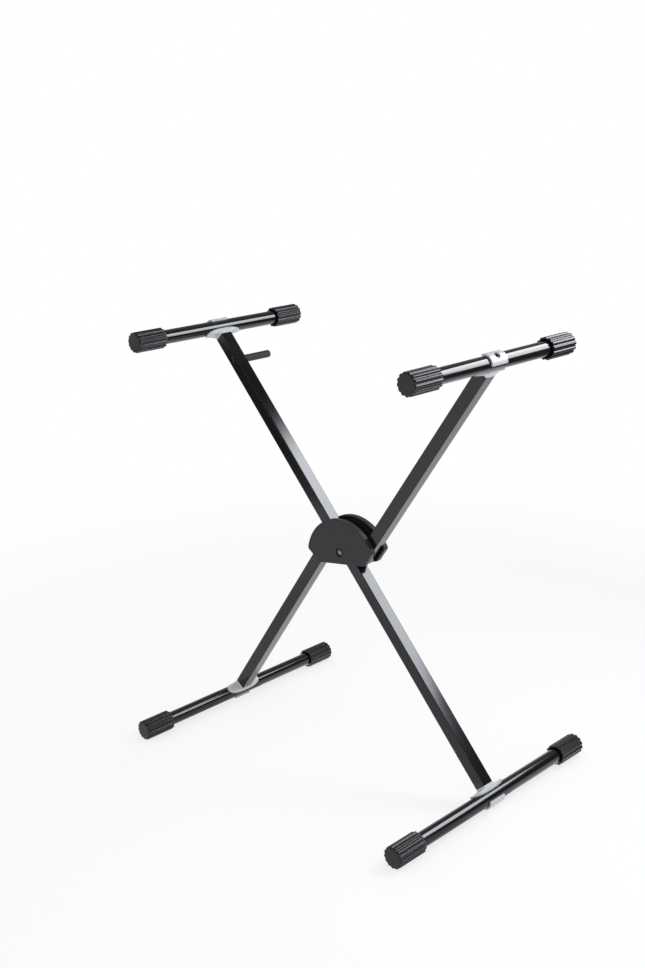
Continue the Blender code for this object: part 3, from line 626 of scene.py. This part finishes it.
def clamp_plate():
    """A flat rounded plate, cut into strips, bent round the bar and thickened away from it."""
    shape = bmesh.new()
    half_arc = CLAMP_HALF_ANGLE * SEAT_RADIUS
    outline = []
    for quarter, (side_x, side_y) in enumerate(((1, 1), (-1, 1), (-1, -1), (1, -1))):
        for step in range(CORNER_STEPS + 1):
            turn = (quarter + step / CORNER_STEPS) * pi / 2
            x = side_x * (half_arc - CLAMP_CORNER) + CLAMP_CORNER * cos(turn)
            y = side_y * (CLAMP_LENGTH / 2 - CLAMP_CORNER) + CLAMP_CORNER * sin(turn)
            outline.append(shape.verts.new((x, y, 0)))
    shape.faces.new(outline)
    for strip in range(1, CLAMP_STRIPS):
        line = half_arc * (2 * strip / CLAMP_STRIPS - 1)
        everything = shape.verts[:] + shape.edges[:] + shape.faces[:]
        bmesh.ops.bisect_plane(shape, geom=everything, plane_co=(line, 0, 0), plane_no=(1, 0, 0))
    thick = bmesh.ops.extrude_face_region(shape, geom=shape.faces[:])["geom"]
    raised = {item for item in thick if isinstance(item, bmesh.types.BMVert)}
    for vert in shape.verts:
        wrap = vert.co.x / SEAT_RADIUS
        radius = CLAMP_RADIUS if vert in raised else SEAT_RADIUS
        vert.co = (radius * sin(wrap), vert.co.y, -radius * cos(wrap))
    bmesh.ops.recalc_face_normals(shape, faces=shape.faces)
    round_edges(shape, CLAMP_EDGE, segments=3, angle=CAST_CORNER)
    high = CLAMP_RADIUS + CUT_OVER
    shape = carved(shape, round_bar(SCREW_RADIUS + GAP, -high, 0, sides=32))
    sink = [(0, -SCREW_SLOPE), (SINK_CLEAR + SCREW_RADIUS, -SCREW_SLOPE), (SINK_RADIUS, -SCREW_TOP)]
    sink += [(SINK_RADIUS, -high), (0, -high)]
    return carved(shape, turned(sink))


for bar, (body, _) in BARS.items():
    fit(bar + "_curved_clamp", clamp_plate(), bar_frame(bar)[0], cast, body, [bar + "_clamp_plate"])

# Clamp screws
# Countersunk steel screws, blackened, with a hexagon socket. Each passes through the clamp plate and
# the bar into the saddle.

SCREW_GRIP = 0.018
SOCKET_FLATS = 0.005
SOCKET_DEPTH = 0.0022
HEAD_RIM = 0.0003
OXIDE_BLACK = (0.02, 0.019, 0.02, 1)
OXIDE_WORN = (0.06, 0.056, 0.055, 1)


def black_oxide():
    """Blackened steel under a film of oil, worn a little towards bare metal."""
    finish = Finish("black_oxide_steel", metallic=0.6)
    cloud = finish.noise(scale=500, detail=4)
    marks = finish.noise(scale=4200, place=finish.drawn_along_y(0.15))
    finish.set("Base Color", finish.blend(finish.band(cloud, 0.45, 0.8), OXIDE_BLACK, OXIDE_WORN))
    finish.set("Roughness", 0.28 + 0.14 * cloud + 0.08 * marks)
    finish.bump(marks, depth=0.000006)
    return finish.material


def hexagon(flats, low, high):
    """A hexagon bar along Z, given by the distance between two of its flats."""
    return round_bar(flats / 2 / cos(pi / 6), low, high, sides=6)


def clamp_screw():
    """The screw along Z, its head at the low end and a hexagon socket sunk into the head."""
    end = TUBE_TO_BAR + SCREW_GRIP
    profile = [(0, end), (SCREW_RADIUS - HEAD_RIM, end), (SCREW_RADIUS, end - HEAD_RIM)]
    profile += [(SCREW_RADIUS, -SCREW_SLOPE), (SCREW_HEAD_RADIUS, HEAD_RIM - SCREW_TOP)]
    profile += [(SCREW_HEAD_RADIUS - HEAD_RIM, -SCREW_TOP), (0, -SCREW_TOP)]
    socket = hexagon(SOCKET_FLATS, -SCREW_TOP - CUT_OVER, SOCKET_DEPTH - SCREW_TOP)
    shape = carved(turned(profile, sides=48), socket)
    round_edges(shape, HEAD_RIM / 2, segments=1, angle=radians(60))
    return shape


oxide = black_oxide()
for bar, (body, _) in BARS.items():
    fit(bar + "_socket_screw", clamp_screw(), bar_frame(bar)[0], oxide, body, [bar + "_screw"])

# Hub shells
# Two half-moon mouldings in black grained plastic that cover the plates and the ends of the link
# tubes. A raised bead runs round the arc, and the pivot bolt that holds them sits in a round recess.

SHELL_WALL = 0.003
SHELL_DEPTH = 0.0098
SHELL_ARC = 0.0835
SHELL_SHIFT = 0.025
SHELL_CHORD = 0.0212
SHELL_MARGIN = 0.0053
SHELL_SIDE = LINK_OFFSET + HALF_SIDE + SHELL_MARGIN
SHELL_CORNER = 0.0065
SHELL_EDGE = 0.0014
ARC_STEPS = 56
TIP_STEPS = 8
CHORD_STEPS = 6
SHELL_RIM = HALF_SIDE + GAP
SHELL_FACE = SHELL_RIM + SHELL_DEPTH
BEAD_WIDTH = 0.0031
BEAD_STEP = 0.0008
PLATE_INNER = HALF_SIDE + GAP
PLATE_THICKNESS = 0.003
PLATE_OUTER = PLATE_INNER + PLATE_THICKNESS
RECESS_RADIUS = 0.0086
RECESS_DEPTH = 0.0034
RECESS_FLOOR = SHELL_FACE - RECESS_DEPTH
BOSS_RADIUS = 0.0115
BOSS_ROOT_SHARE = 0.6
DOWEL_RADIUS = 0.0028
DOWEL_PLACES = ((-0.012, -0.022), (0.022, 0.012))
BOLT_RADIUS = 0.004
SHELL_DARK = (0.021, 0.0204, 0.0236, 1)
SHELL_PALE = (0.031, 0.03, 0.034, 1)


def shell_moulding():
    """Grained plastic, a shade lighter than the enamel and nearly without gloss."""
    finish = Finish("grained_shell_plastic", specular_ior_level=0.4, specular_tint=COOL_SHEEN)
    cloud = finish.noise(scale=32, detail=3)
    grain = finish.node("ShaderNodeTexVoronoi", 0, {"Vector": finish.place, "Scale": 1900})
    fine = finish.noise(scale=3400)
    finish.set("Base Color", finish.blend(cloud * 0.7 + fine * 0.3, SHELL_DARK, SHELL_PALE))
    finish.set("Roughness", 0.46 + 0.12 * cloud)
    finish.bump(grain + 0.5 * fine, depth=0.00006)
    return finish.material


def half_moon(inset, low, high):
    """The half-moon as a solid between two heights, drawn in all round by the inset. Z is outwards."""
    corner = max(SHELL_CORNER - inset, SHELL_WALL)
    side = SHELL_SIDE - inset - corner
    radius = SHELL_ARC - inset - corner
    chord = (SHELL_CHORD - inset - corner) * sqrt(2)
    middle = Vector((SHELL_SHIFT, -SHELL_SHIFT)) / sqrt(2)
    start = asin((side - middle.x) / radius)
    upper = middle + radius * Vector((sin(start), cos(start)))
    lower = Vector((-upper.y, -upper.x))
    bends = [
        (middle, radius + corner, start, -pi / 2 - start, ARC_STEPS),
        (lower, corner, -pi / 2 - start, -pi, TIP_STEPS),
        (Vector((chord - side, -side)), corner, -pi, -5 * pi / 4, CHORD_STEPS),
        (Vector((side, side - chord)), corner, -5 * pi / 4, -3 * pi / 2, CHORD_STEPS),
        (upper, corner, -3 * pi / 2, start - 2 * pi, TIP_STEPS),
    ]
    shape = bmesh.new()
    outline = []
    for centre, reach, first, last, steps in bends:
        for step in range(steps + 1):
            turn = first + (last - first) * step / steps
            point = centre + reach * Vector((sin(turn), cos(turn)))
            outline.append(shape.verts.new((point.x, point.y, low)))
    shape.faces.new(outline)
    bmesh.ops.remove_doubles(shape, verts=shape.verts, dist=1e-5)
    raised = bmesh.ops.extrude_face_region(shape, geom=shape.faces[:])["geom"]
    verts = [item for item in raised if isinstance(item, bmesh.types.BMVert)]
    bmesh.ops.translate(shape, vec=(0, 0, high - low), verts=verts)
    bmesh.ops.recalc_face_normals(shape, faces=shape.faces)
    return shape


def moved(shape, x, z):
    bmesh.ops.translate(shape, vec=(x, z, 0), verts=shape.verts)
    return shape


def hub_shell():
    """The shell with its open side down, at the heights that it has beside the tubes."""
    shape = half_moon(0, SHELL_RIM, SHELL_FACE)
    crown = [edge for edge in shape.edges if min(vert.co.z for vert in edge.verts) > SHELL_FACE - GAP]
    bmesh.ops.bevel(
        shape, geom=crown, offset=SHELL_EDGE, segments=4, profile=0.5, affect="EDGES", material=-1,
    )
    middle = SHELL_SHIFT / sqrt(2)
    field = SHELL_ARC - BEAD_WIDTH
    above = SHELL_FACE + CUT_OVER
    dish = round_bar(field - BEAD_STEP, SHELL_FACE - BEAD_STEP, above, sides=220, top=field + CUT_OVER)
    shape = carved(shape, moved(dish, middle, -middle))
    shape = carved(shape, half_moon(SHELL_WALL, SHELL_RIM - CUT_OVER, SHELL_FACE - SHELL_WALL))
    root = SHELL_FACE - SHELL_WALL * BOSS_ROOT_SHARE
    shape = carved(shape, round_bar(BOSS_RADIUS, PLATE_OUTER + GAP, root, sides=64), "UNION")
    for x, z in DOWEL_PLACES:
        dowel = round_bar(DOWEL_RADIUS, PLATE_INNER + GAP, root, sides=24)
        shape = carved(shape, moved(dowel, x, z), "UNION")
    shape = carved(shape, round_bar(RECESS_RADIUS, RECESS_FLOOR, above, sides=64))
    return carved(shape, round_bar(BOLT_RADIUS + GAP, PLATE_OUTER, above, sides=32))


OUTWARDS_FRONT = Matrix(((1, 0, 0, 0), (0, 0, -1, 0), (0, 1, 0, 0), (0, 0, 0, 1)))
TO_REAR = Matrix.Rotation(pi, 4, Vector((-1, 0, 1)))

moulding = shell_moulding()
for side, turn in (("front", Matrix.Identity(4)), ("rear", TO_REAR)):
    fit(side + "_half_moon_cover", hub_shell(), link_place @ turn @ OUTWARDS_FRONT, moulding, "link_frame",
        [side + "_shell"])

# Pivot
# A steel bolt with a low domed head in front and a hexagon nut behind, both in dulled zinc plate. It
# passes through both shells and plates and the bush in the main arm, and the arms turn on it.

HEAD_RADIUS = 0.0049
HEAD_SIDE = 0.0012
HEAD_DOME = 0.0018
DOME_STEPS = 10
NUT_FLATS = 0.013
NUT_HEIGHT = 0.0048
NUT_CHAMFER = 0.0009
NUT_CONE_SLOPE = 1.6
ZINC_BRIGHT = (0.31, 0.295, 0.27, 1)
ZINC_DULL = (0.2, 0.188, 0.172, 1)


def zinc_plate():
    """Dulled zinc plating: warm grey metal with cloudy patches and fine tool marks."""
    finish = Finish("zinc_plate", metallic=1.0)
    cloud = finish.noise(scale=240, detail=4)
    marks = finish.noise(scale=4200, place=finish.drawn_along_y(0.15))
    finish.set("Base Color", finish.blend(cloud, ZINC_BRIGHT, ZINC_DULL))
    finish.set("Roughness", 0.24 + 0.16 * cloud + 0.08 * marks)
    finish.bump(marks, depth=0.00001)
    return finish.material


def pivot_bolt():
    """The bolt along Z, its head up: it lies in the front shell's recess."""
    seat = RECESS_FLOOR + GAP
    tail = -(seat + NUT_HEIGHT - GAP)
    profile = [(0, tail), (BOLT_RADIUS - HEAD_RIM, tail), (BOLT_RADIUS, tail + HEAD_RIM)]
    profile += [(BOLT_RADIUS, seat), (HEAD_RADIUS - HEAD_RIM, seat), (HEAD_RADIUS, seat + HEAD_RIM)]
    for step in range(DOME_STEPS + 1):
        bend = pi / 2 * step / DOME_STEPS
        profile.append((HEAD_RADIUS * cos(bend), seat + HEAD_SIDE + HEAD_DOME * sin(bend)))
    return turned(profile, sides=48)


def pivot_nut():
    """A hexagon nut with its corners turned off to a cone on the outer side."""
    seat = RECESS_FLOOR + GAP
    top = seat + NUT_HEIGHT
    corner = NUT_FLATS / 2 / cos(pi / 6)
    shape = hexagon(NUT_FLATS, seat, top)
    foot = corner + NUT_HEIGHT * NUT_CONE_SLOPE
    cone = round_bar(foot, seat - CUT_OVER, top, sides=96, top=corner - NUT_CHAMFER)
    shape = carved(shape, cone, "INTERSECT")
    shape = carved(shape, round_bar(BOLT_RADIUS + GAP, seat - CUT_OVER, top + CUT_OVER))
    round_edges(shape, HEAD_RIM / 2, segments=1)
    return shape


zinc = zinc_plate()
fit("pivot_bolt_domed", pivot_bolt(), link_place @ OUTWARDS_FRONT, zinc, "link_frame", ["pivot_bolt"])
fit("pivot_nut_hexagon", pivot_nut(), link_place @ TO_REAR @ OUTWARDS_FRONT, zinc, "link_frame",
    ["pivot_nut"])

# Release peg
# A steel bolt through the slots near the main arm's top, with a sleeve of dull soft rubber that ends in
# a round nose behind the arm. Pulling it along the arm draws the lock pin out of its notch.

PEG_CLEAR = 0.0005
GRIP_RADIUS = 0.0068
GRIP_LENGTH = 0.0655
GRIP_TIP = 0.005
GRIP_START = HALF_SIDE + PEG_CLEAR
GRIP_END = GRIP_START + GRIP_LENGTH
GRIP_LIP = 0.0006
NOSE_STEPS = 12
SLEEVE_DARK = (0.024, 0.0235, 0.0265, 1)
SLEEVE_PALE = (0.034, 0.033, 0.037, 1)


def sleeve_rubber():
    """Soft rubber that has lost its shine: greyer and rougher than the caps."""
    finish = Finish("peg_sleeve_rubber", specular_ior_level=0.4, specular_tint=COOL_SHEEN)
    mottle = finish.noise(scale=60, detail=3)
    finish.set("Base Color", finish.blend(mottle, SLEEVE_DARK, SLEEVE_PALE))
    finish.set("Roughness", 0.55 + 0.12 * mottle)
    finish.bump(finish.noise(scale=1500), depth=0.00001)
    return finish.material


def grip_sleeve():
    """The sleeve along Z from the tube outwards, its mouth a little flared."""
    bore = PEG_BOLT_RADIUS + GAP
    bottom = GRIP_END - GRIP_TIP
    profile = [(0, bottom), (bore, bottom), (bore, GRIP_START)]
    profile += [(GRIP_RADIUS - GRIP_LIP, GRIP_START), (GRIP_RADIUS, GRIP_START + GRIP_LIP)]
    for step in range(NOSE_STEPS + 1):
        bend = pi / 2 * step / NOSE_STEPS
        profile.append((GRIP_RADIUS * cos(bend), GRIP_END - GRIP_TIP * (1 - sin(bend))))
    return turned(profile)


def peg_bolt():
    """The bolt along Z, from just inside the tube's front wall to the sleeve's blind end."""
    start = GAP - HALF_SIDE
    end = GRIP_END - GRIP_TIP - GAP
    edge = 2 * HEAD_RIM
    profile = [(0, start), (PEG_BOLT_RADIUS - edge, start), (PEG_BOLT_RADIUS, start + edge)]
    profile += [(PEG_BOLT_RADIUS, end), (0, end)]
    return turned(profile, sides=40)


peg_place = arm_place @ Matrix.Translation((0, 0, PEG_AT)) @ ALONG_Y
fit("release_peg_sleeve", grip_sleeve(), peg_place, sleeve_rubber(), "height_lock", ["peg_grip"])
fit("release_peg_bolt", peg_bolt(), peg_place, oxide, "height_lock", ["peg_bolt"])

# Pieces inside the hub and the main arm
# Plates and rivets of blackened steel, moulded plugs, acetal sliders, stop and bush, and a plated rod
# and pin. They keep the frame's own shapes and take finishes here.

PLASTIC_DARK = (0.018, 0.018, 0.019, 1)
PLASTIC_PALE = (0.026, 0.026, 0.027, 1)
ACETAL_PALE = (0.016, 0.0155, 0.0165, 1)
ACETAL_DEEP = (0.009, 0.0088, 0.0096, 1)


def plain_moulding(name, first, second, roughness):
    """Moulded plastic with a faint cloud in its colour and gloss, and a fine texture."""
    finish = Finish(name)
    cloud = finish.noise(scale=90, detail=3)
    finish.set("Base Color", finish.blend(cloud, first, second))
    finish.set("Roughness", roughness + 0.1 * cloud)
    finish.bump(finish.noise(scale=1600), depth=0.00003)
    return finish.material


plug_plastic = plain_moulding("plug_plastic", PLASTIC_DARK, PLASTIC_PALE, roughness=0.4)
acetal = plain_moulding("black_acetal", ACETAL_PALE, ACETAL_DEEP, roughness=0.32)
INSIDE = {
    oxide: [side + "_hub_plate" for side in ("front", "rear")]
    + [f"{link}_rivet_{number}" for link in ("upper_link", "lower_link") for number in (1, 2)],
    plug_plastic: ["upper_link_plug", "lower_link_plug"],
    acetal: ["pivot_bush", "pin_carrier", "peg_block", "spring_stop"],
    zinc: ["lock_pin", "pull_rod"],
}
for material, names in INSIDE.items():
    for name in names:
        mesh = frame["nodes"][name].data
        mesh.materials.clear()
        mesh.materials.append(material)

# Return spring
# Round wire coiled round the pull rod, between the pin carrier and the fixed stop. The real spring
# shortens by the peg's travel when the peg is pulled; this coil keeps one length.

SPRING_WIRE = 0.0007
SPRING_RADIUS = 0.0052
SPRING_TURNS = 7
SPRING_TURN_STEPS = 24
SPRING_WIRE_SIDES = 10
WIRE_BRIGHT = (0.42, 0.42, 0.44, 1)
WIRE_DARK = (0.26, 0.25, 0.26, 1)


def spring_wire():
    """Hard-drawn steel wire with fine streaks."""
    finish = Finish("spring_wire", metallic=1.0)
    drawn = finish.noise(scale=3000)
    finish.set("Base Color", finish.blend(drawn, WIRE_BRIGHT, WIRE_DARK))
    finish.set("Roughness", 0.3 + 0.15 * drawn)
    return finish.material


def coiled_spring(length):
    """A wire's round section, carried up and round Z, with the wire's centre rising by the length."""
    shape = bmesh.new()
    bmesh.ops.create_circle(
        shape, cap_ends=True, segments=SPRING_WIRE_SIDES, radius=SPRING_WIRE,
        matrix=Matrix.Translation((SPRING_RADIUS, 0, 0)) @ ALONG_Y,
    )
    steps = SPRING_TURNS * SPRING_TURN_STEPS
    bmesh.ops.spin(
        shape, geom=shape.verts[:] + shape.edges[:] + shape.faces[:], cent=(0, 0, 0), axis=(0, 0, 1),
        dvec=(0, 0, length / steps), angle=2 * pi * SPRING_TURNS, steps=steps,
    )
    put_in_order(shape)
    return shape


heights = [point.co.dot(SLIDE) for point in frame["nodes"]["return_spring"].data.vertices]
spring_start = min(heights) + SPRING_WIRE
spring_length = max(heights) - SPRING_WIRE - spring_start
spring_foot = PIVOT + SLIDE * (spring_start - PIVOT.dot(SLIDE))
spring_place = Matrix.Translation(spring_foot) @ arm_place.to_3x3().to_4x4()
spring = fit("return_spring_coil", coiled_spring(spring_length), spring_place, spring_wire(),
             "height_lock", ["return_spring"], angle=radians(60))
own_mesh(spring)

# Camera
# It stands in front of the stand's right-hand side and a little above it, with a slight roll. Its
# place, its turn and its focal length were fitted to the edges of the stand in the photograph.

PHOTO_HEIGHT = 968
FOCAL_PIXELS = 1236.757
SENSOR = 36.0
CAMERA_AZIMUTH = radians(46.178)
CAMERA_DROP = radians(16.295)
CAMERA_ROLL = radians(-2.595)
CAMERA_PLACE = PIVOT + Vector((1.43285, -1.42825, 0.71111))

level = Vector((cos(CAMERA_AZIMUTH), sin(CAMERA_AZIMUTH), 0))
back = Vector((
    sin(CAMERA_AZIMUTH) * cos(CAMERA_DROP), -cos(CAMERA_AZIMUTH) * cos(CAMERA_DROP), sin(CAMERA_DROP)
))
straight_up = back.cross(level)
right = level * cos(CAMERA_ROLL) + straight_up * sin(CAMERA_ROLL)
up = straight_up * cos(CAMERA_ROLL) - level * sin(CAMERA_ROLL)
camera_data = bpy.data.cameras.new("camera")
camera_data.sensor_width = SENSOR
camera_data.lens = FOCAL_PIXELS * SENSOR / PHOTO_HEIGHT
camera = bpy.data.objects.new("camera", camera_data)
camera.matrix_world = Matrix.Translation(CAMERA_PLACE) @ Matrix((right, up, back)).transposed().to_4x4()
bpy.context.scene.collection.objects.link(camera)
bpy.context.scene.camera = camera

# Studio
# A pale floor under a white surround, with one large softbox behind the stand on the right. Only
# mirror-like surfaces see the rest, which gives the enamel its dark fronts and pale sides: two black
# flags, a dim ceiling, and two glowing patches on the floor, a bright one behind the stand that is
# painted reflection light and a dim one in front that is painted floor shade.

UPWARDS = Vector((0, 0, 1))
TO_RIGHT = Vector((1, 0, 0))
WHITE = (1, 1, 1, 1)
FLOOR_COLOUR = (0.94, 0.94, 0.94, 1)
FLOOR_HALF = 30.0
POOL_INNER = 0.7
POOL_OUTER = 2.0
NEAR_GLOW = 0.74
AMBIENT = 0.8
SOFTBOX_COLOUR = (0.97, 1, 0.985, 1)
SOFTBOX_LIGHT = 8.0
SOFTBOX_GLOW = 11.0
SOFTBOX_TOP_GLOW = 13.2
SOFTBOX_RISE = (1.15, 1.55)
SOFTBOX_PLACE = Vector((0.8, 1.0, 1.385))
SOFTBOX_HALF = (0.56, 0.5)
SOFTBOX_FADE = 0.16
SOFTBOX_FOOT_FADE = 0.1
SOFTBOX_CUT = 0.96
# Painted reflection light: a bright patch on the floor behind the stand that only reflections see.
REFLECTION_PATCH_GLOW = 1.4
REFLECTION_PATCH_PLACE = Vector((-0.05, 0.5, 0.004))
REFLECTION_PATCH_HALF = (0.5, 0.45)
# Painted floor shade: a dim patch on the floor in front of the stand, seen in the enamel's fronts.
SHADE_PATCH_GLOW = 0.74
SHADE_PATCH_PLACE = Vector((-0.15, -0.33, 0.003))
SHADE_PATCH_HALF = (0.55, 0.27)
CEILING_RADIUS = 2.4
CEILING_FOOT = 0.95
CEILING_GLOW = 0.17
CEILING_LEFT_GLOW = 0.36
CEILING_CHANGE = (0.5, -0.6)
FLAG_GLOW = 0.1
FLAG_FOOT_GLOW = 0.3
FLAG_FADE = 0.2
FLAGS = (
    ((1.0, 1.05, 0.42), (0.75, 0.42), 0),
    ((-1.343, -0.707, 0.27), (0.45, 0.25), radians(-45)),
)


def seen_rays(recipe):
    """1 for what the camera, a mirror-like surface or clear material sees, and 0 for plain light."""
    camera_ray = recipe.node("ShaderNodeLightPath", "Is Camera Ray", {})
    rays = camera_ray.socket.node.outputs
    glossy_ray = Signal(recipe, rays["Is Glossy Ray"])
    clear_ray = Signal(recipe, rays["Is Transmission Ray"])
    return camera_ray.most(glossy_ray).most(clear_ray)


world = bpy.data.worlds.new("white surround")
bpy.context.scene.world = world
world.use_nodes = True
world.cycles.sampling_method = "NONE"
surround = Recipe(world.node_tree)
background = world.node_tree.nodes["Background"]
background.inputs["Color"].default_value = WHITE
surround.feed(background.inputs["Strength"], AMBIENT + (1 - AMBIENT) * seen_rays(surround))


def pale_floor():
    """Matt white, which the camera sees turn to plain white away from the stand."""
    finish = Finish("pale floor", roughness=0.9, specular_ior_level=0.0)
    finish.set("Base Color", FLOOR_COLOUR)
    matt = Signal(finish, finish.shader.outputs[0])
    glow = finish.node("ShaderNodeEmission", 0, {"Color": WHITE, "Strength": 1.0})
    distance = finish.node("ShaderNodeVectorMath", "Value", {0: finish.place}, operation="LENGTH")
    far = finish.band(distance, POOL_INNER, POOL_OUTER)
    share = seen_rays(finish) * (NEAR_GLOW + (1 - NEAR_GLOW) * far)
    finish.show(finish.node("ShaderNodeMixShader", 0, {0: share, 1: matt, 2: glow}))
    return finish.material


floor_shape = bmesh.new()
bmesh.ops.create_grid(floor_shape, x_segments=1, y_segments=1, size=FLOOR_HALF)
floor = new_piece("floor", floor_shape, pale_floor())


def glowing(name, colour, strength):
    """A material that only gives off light, at a strength worked out in its own nodes."""
    finish = Finish(name)
    finish.show(finish.node("ShaderNodeEmission", 0, {"Color": colour, "Strength": strength(finish)}))
    return finish.material


def card(name, place, half, turn, material, lean=pi / 2):
    """An upright card whose width runs along X until it is turned. Without its lean it lies flat."""
    shape = bmesh.new()
    size = Matrix.Diagonal((half[0], half[1], 1, 1))
    bmesh.ops.create_grid(shape, x_segments=1, y_segments=1, size=1, matrix=size)
    stand = Matrix.Translation(place) @ Matrix.Rotation(turn, 4, "Z") @ Matrix.Rotation(lean, 4, "X")
    bmesh.ops.transform(shape, matrix=stand, verts=shape.verts)
    piece = new_piece(name, shape, material)
    piece.visible_camera = False
    return piece


def mirror_only(piece):
    """Only reflections see the piece, and no light for the stand is looked for on it."""
    piece.data.materials[0].cycles.emission_sampling = "NONE"
    piece.visible_camera = False
    piece.visible_diffuse = False
    piece.visible_transmission = False
    piece.visible_volume_scatter = False
    piece.visible_shadow = False


def along(finish, direction):
    """How far a point lies along a direction from the stand's origin."""
    sockets = {0: finish.place, 1: direction}
    return finish.node("ShaderNodeVectorMath", "Value", sockets, operation="DOT_PRODUCT")


def softbox_strength(finish):
    """Brightest towards the top and fading out at its edges. Its upper left is cut square to the main arm.

    Mirror-like surfaces see it brighter than it lights the stand, so that pale castings don't burn out.
    """
    height = along(finish, UPWARDS)
    apart = abs(along(finish, TO_RIGHT) - SOFTBOX_PLACE.x)
    half, half_height = SOFTBOX_HALF
    foot = SOFTBOX_PLACE.z - half_height
    sides = finish.band(apart, half, half - SOFTBOX_FADE)
    lower = finish.band(height, foot, foot + SOFTBOX_FOOT_FADE)
    soft = SOFTBOX_FADE / 2
    upper_left = finish.band(along(finish, SLIDE), SOFTBOX_CUT + soft, SOFTBOX_CUT - soft)
    rise = finish.band(height, *SOFTBOX_RISE)
    mirrored = SOFTBOX_GLOW + (SOFTBOX_TOP_GLOW - SOFTBOX_GLOW) * rise
    shown = SOFTBOX_LIGHT + seen_rays(finish) * (mirrored - SOFTBOX_LIGHT)
    return sides * lower * upper_left * shown


def flag_strength(finish):
    """Nearly black, and a little less so near the floor, where white light spills on the cloth."""
    spill = finish.band(along(finish, UPWARDS), FLAG_FADE, 0.0)
    return FLAG_GLOW + (FLAG_FOOT_GLOW - FLAG_GLOW) * spill


def ceiling_strength(finish):
    """Dim, and less so over the left half of the studio."""
    left = finish.band(along(finish, TO_RIGHT), *CEILING_CHANGE)
    return CEILING_GLOW + (CEILING_LEFT_GLOW - CEILING_GLOW) * left


softbox_cloth = glowing("softbox", SOFTBOX_COLOUR, softbox_strength)
softbox = card("softbox", SOFTBOX_PLACE, SOFTBOX_HALF, 0, softbox_cloth)
softbox.visible_shadow = False
# A bright patch on the floor behind the stand that only reflections see: painted reflection light.
reflection_light_glow = glowing("bounce card", WHITE, lambda finish: REFLECTION_PATCH_GLOW)
mirror_only(card("bounce_card", REFLECTION_PATCH_PLACE, REFLECTION_PATCH_HALF, 0, reflection_light_glow, lean=0))
# A dim patch on the floor in front of the stand that only reflections see: painted floor shade.
floor_shade_glow = glowing("grey mat", WHITE, lambda finish: SHADE_PATCH_GLOW)
mirror_only(card("grey_mat", SHADE_PATCH_PLACE, SHADE_PATCH_HALF, 0, floor_shade_glow, lean=0))
flag_cloth = glowing("black flag", WHITE, flag_strength)
for number, (place, half, turn) in enumerate(FLAGS, start=1):
    mirror_only(card(f"flag_{number}", place, half, turn, flag_cloth))

dome_shape = bmesh.new()
bmesh.ops.create_uvsphere(dome_shape, u_segments=64, v_segments=32, radius=CEILING_RADIUS)
everything = dome_shape.verts[:] + dome_shape.edges[:] + dome_shape.faces[:]
bmesh.ops.bisect_plane(
    dome_shape, geom=everything, plane_co=(0, 0, CEILING_FOOT), plane_no=UPWARDS, clear_inner=True,
)
dome = new_piece("dark_ceiling", dome_shape, glowing("dark ceiling", WHITE, ceiling_strength))
mirror_only(dome)

bpy.context.scene.view_settings.view_transform = "Standard"
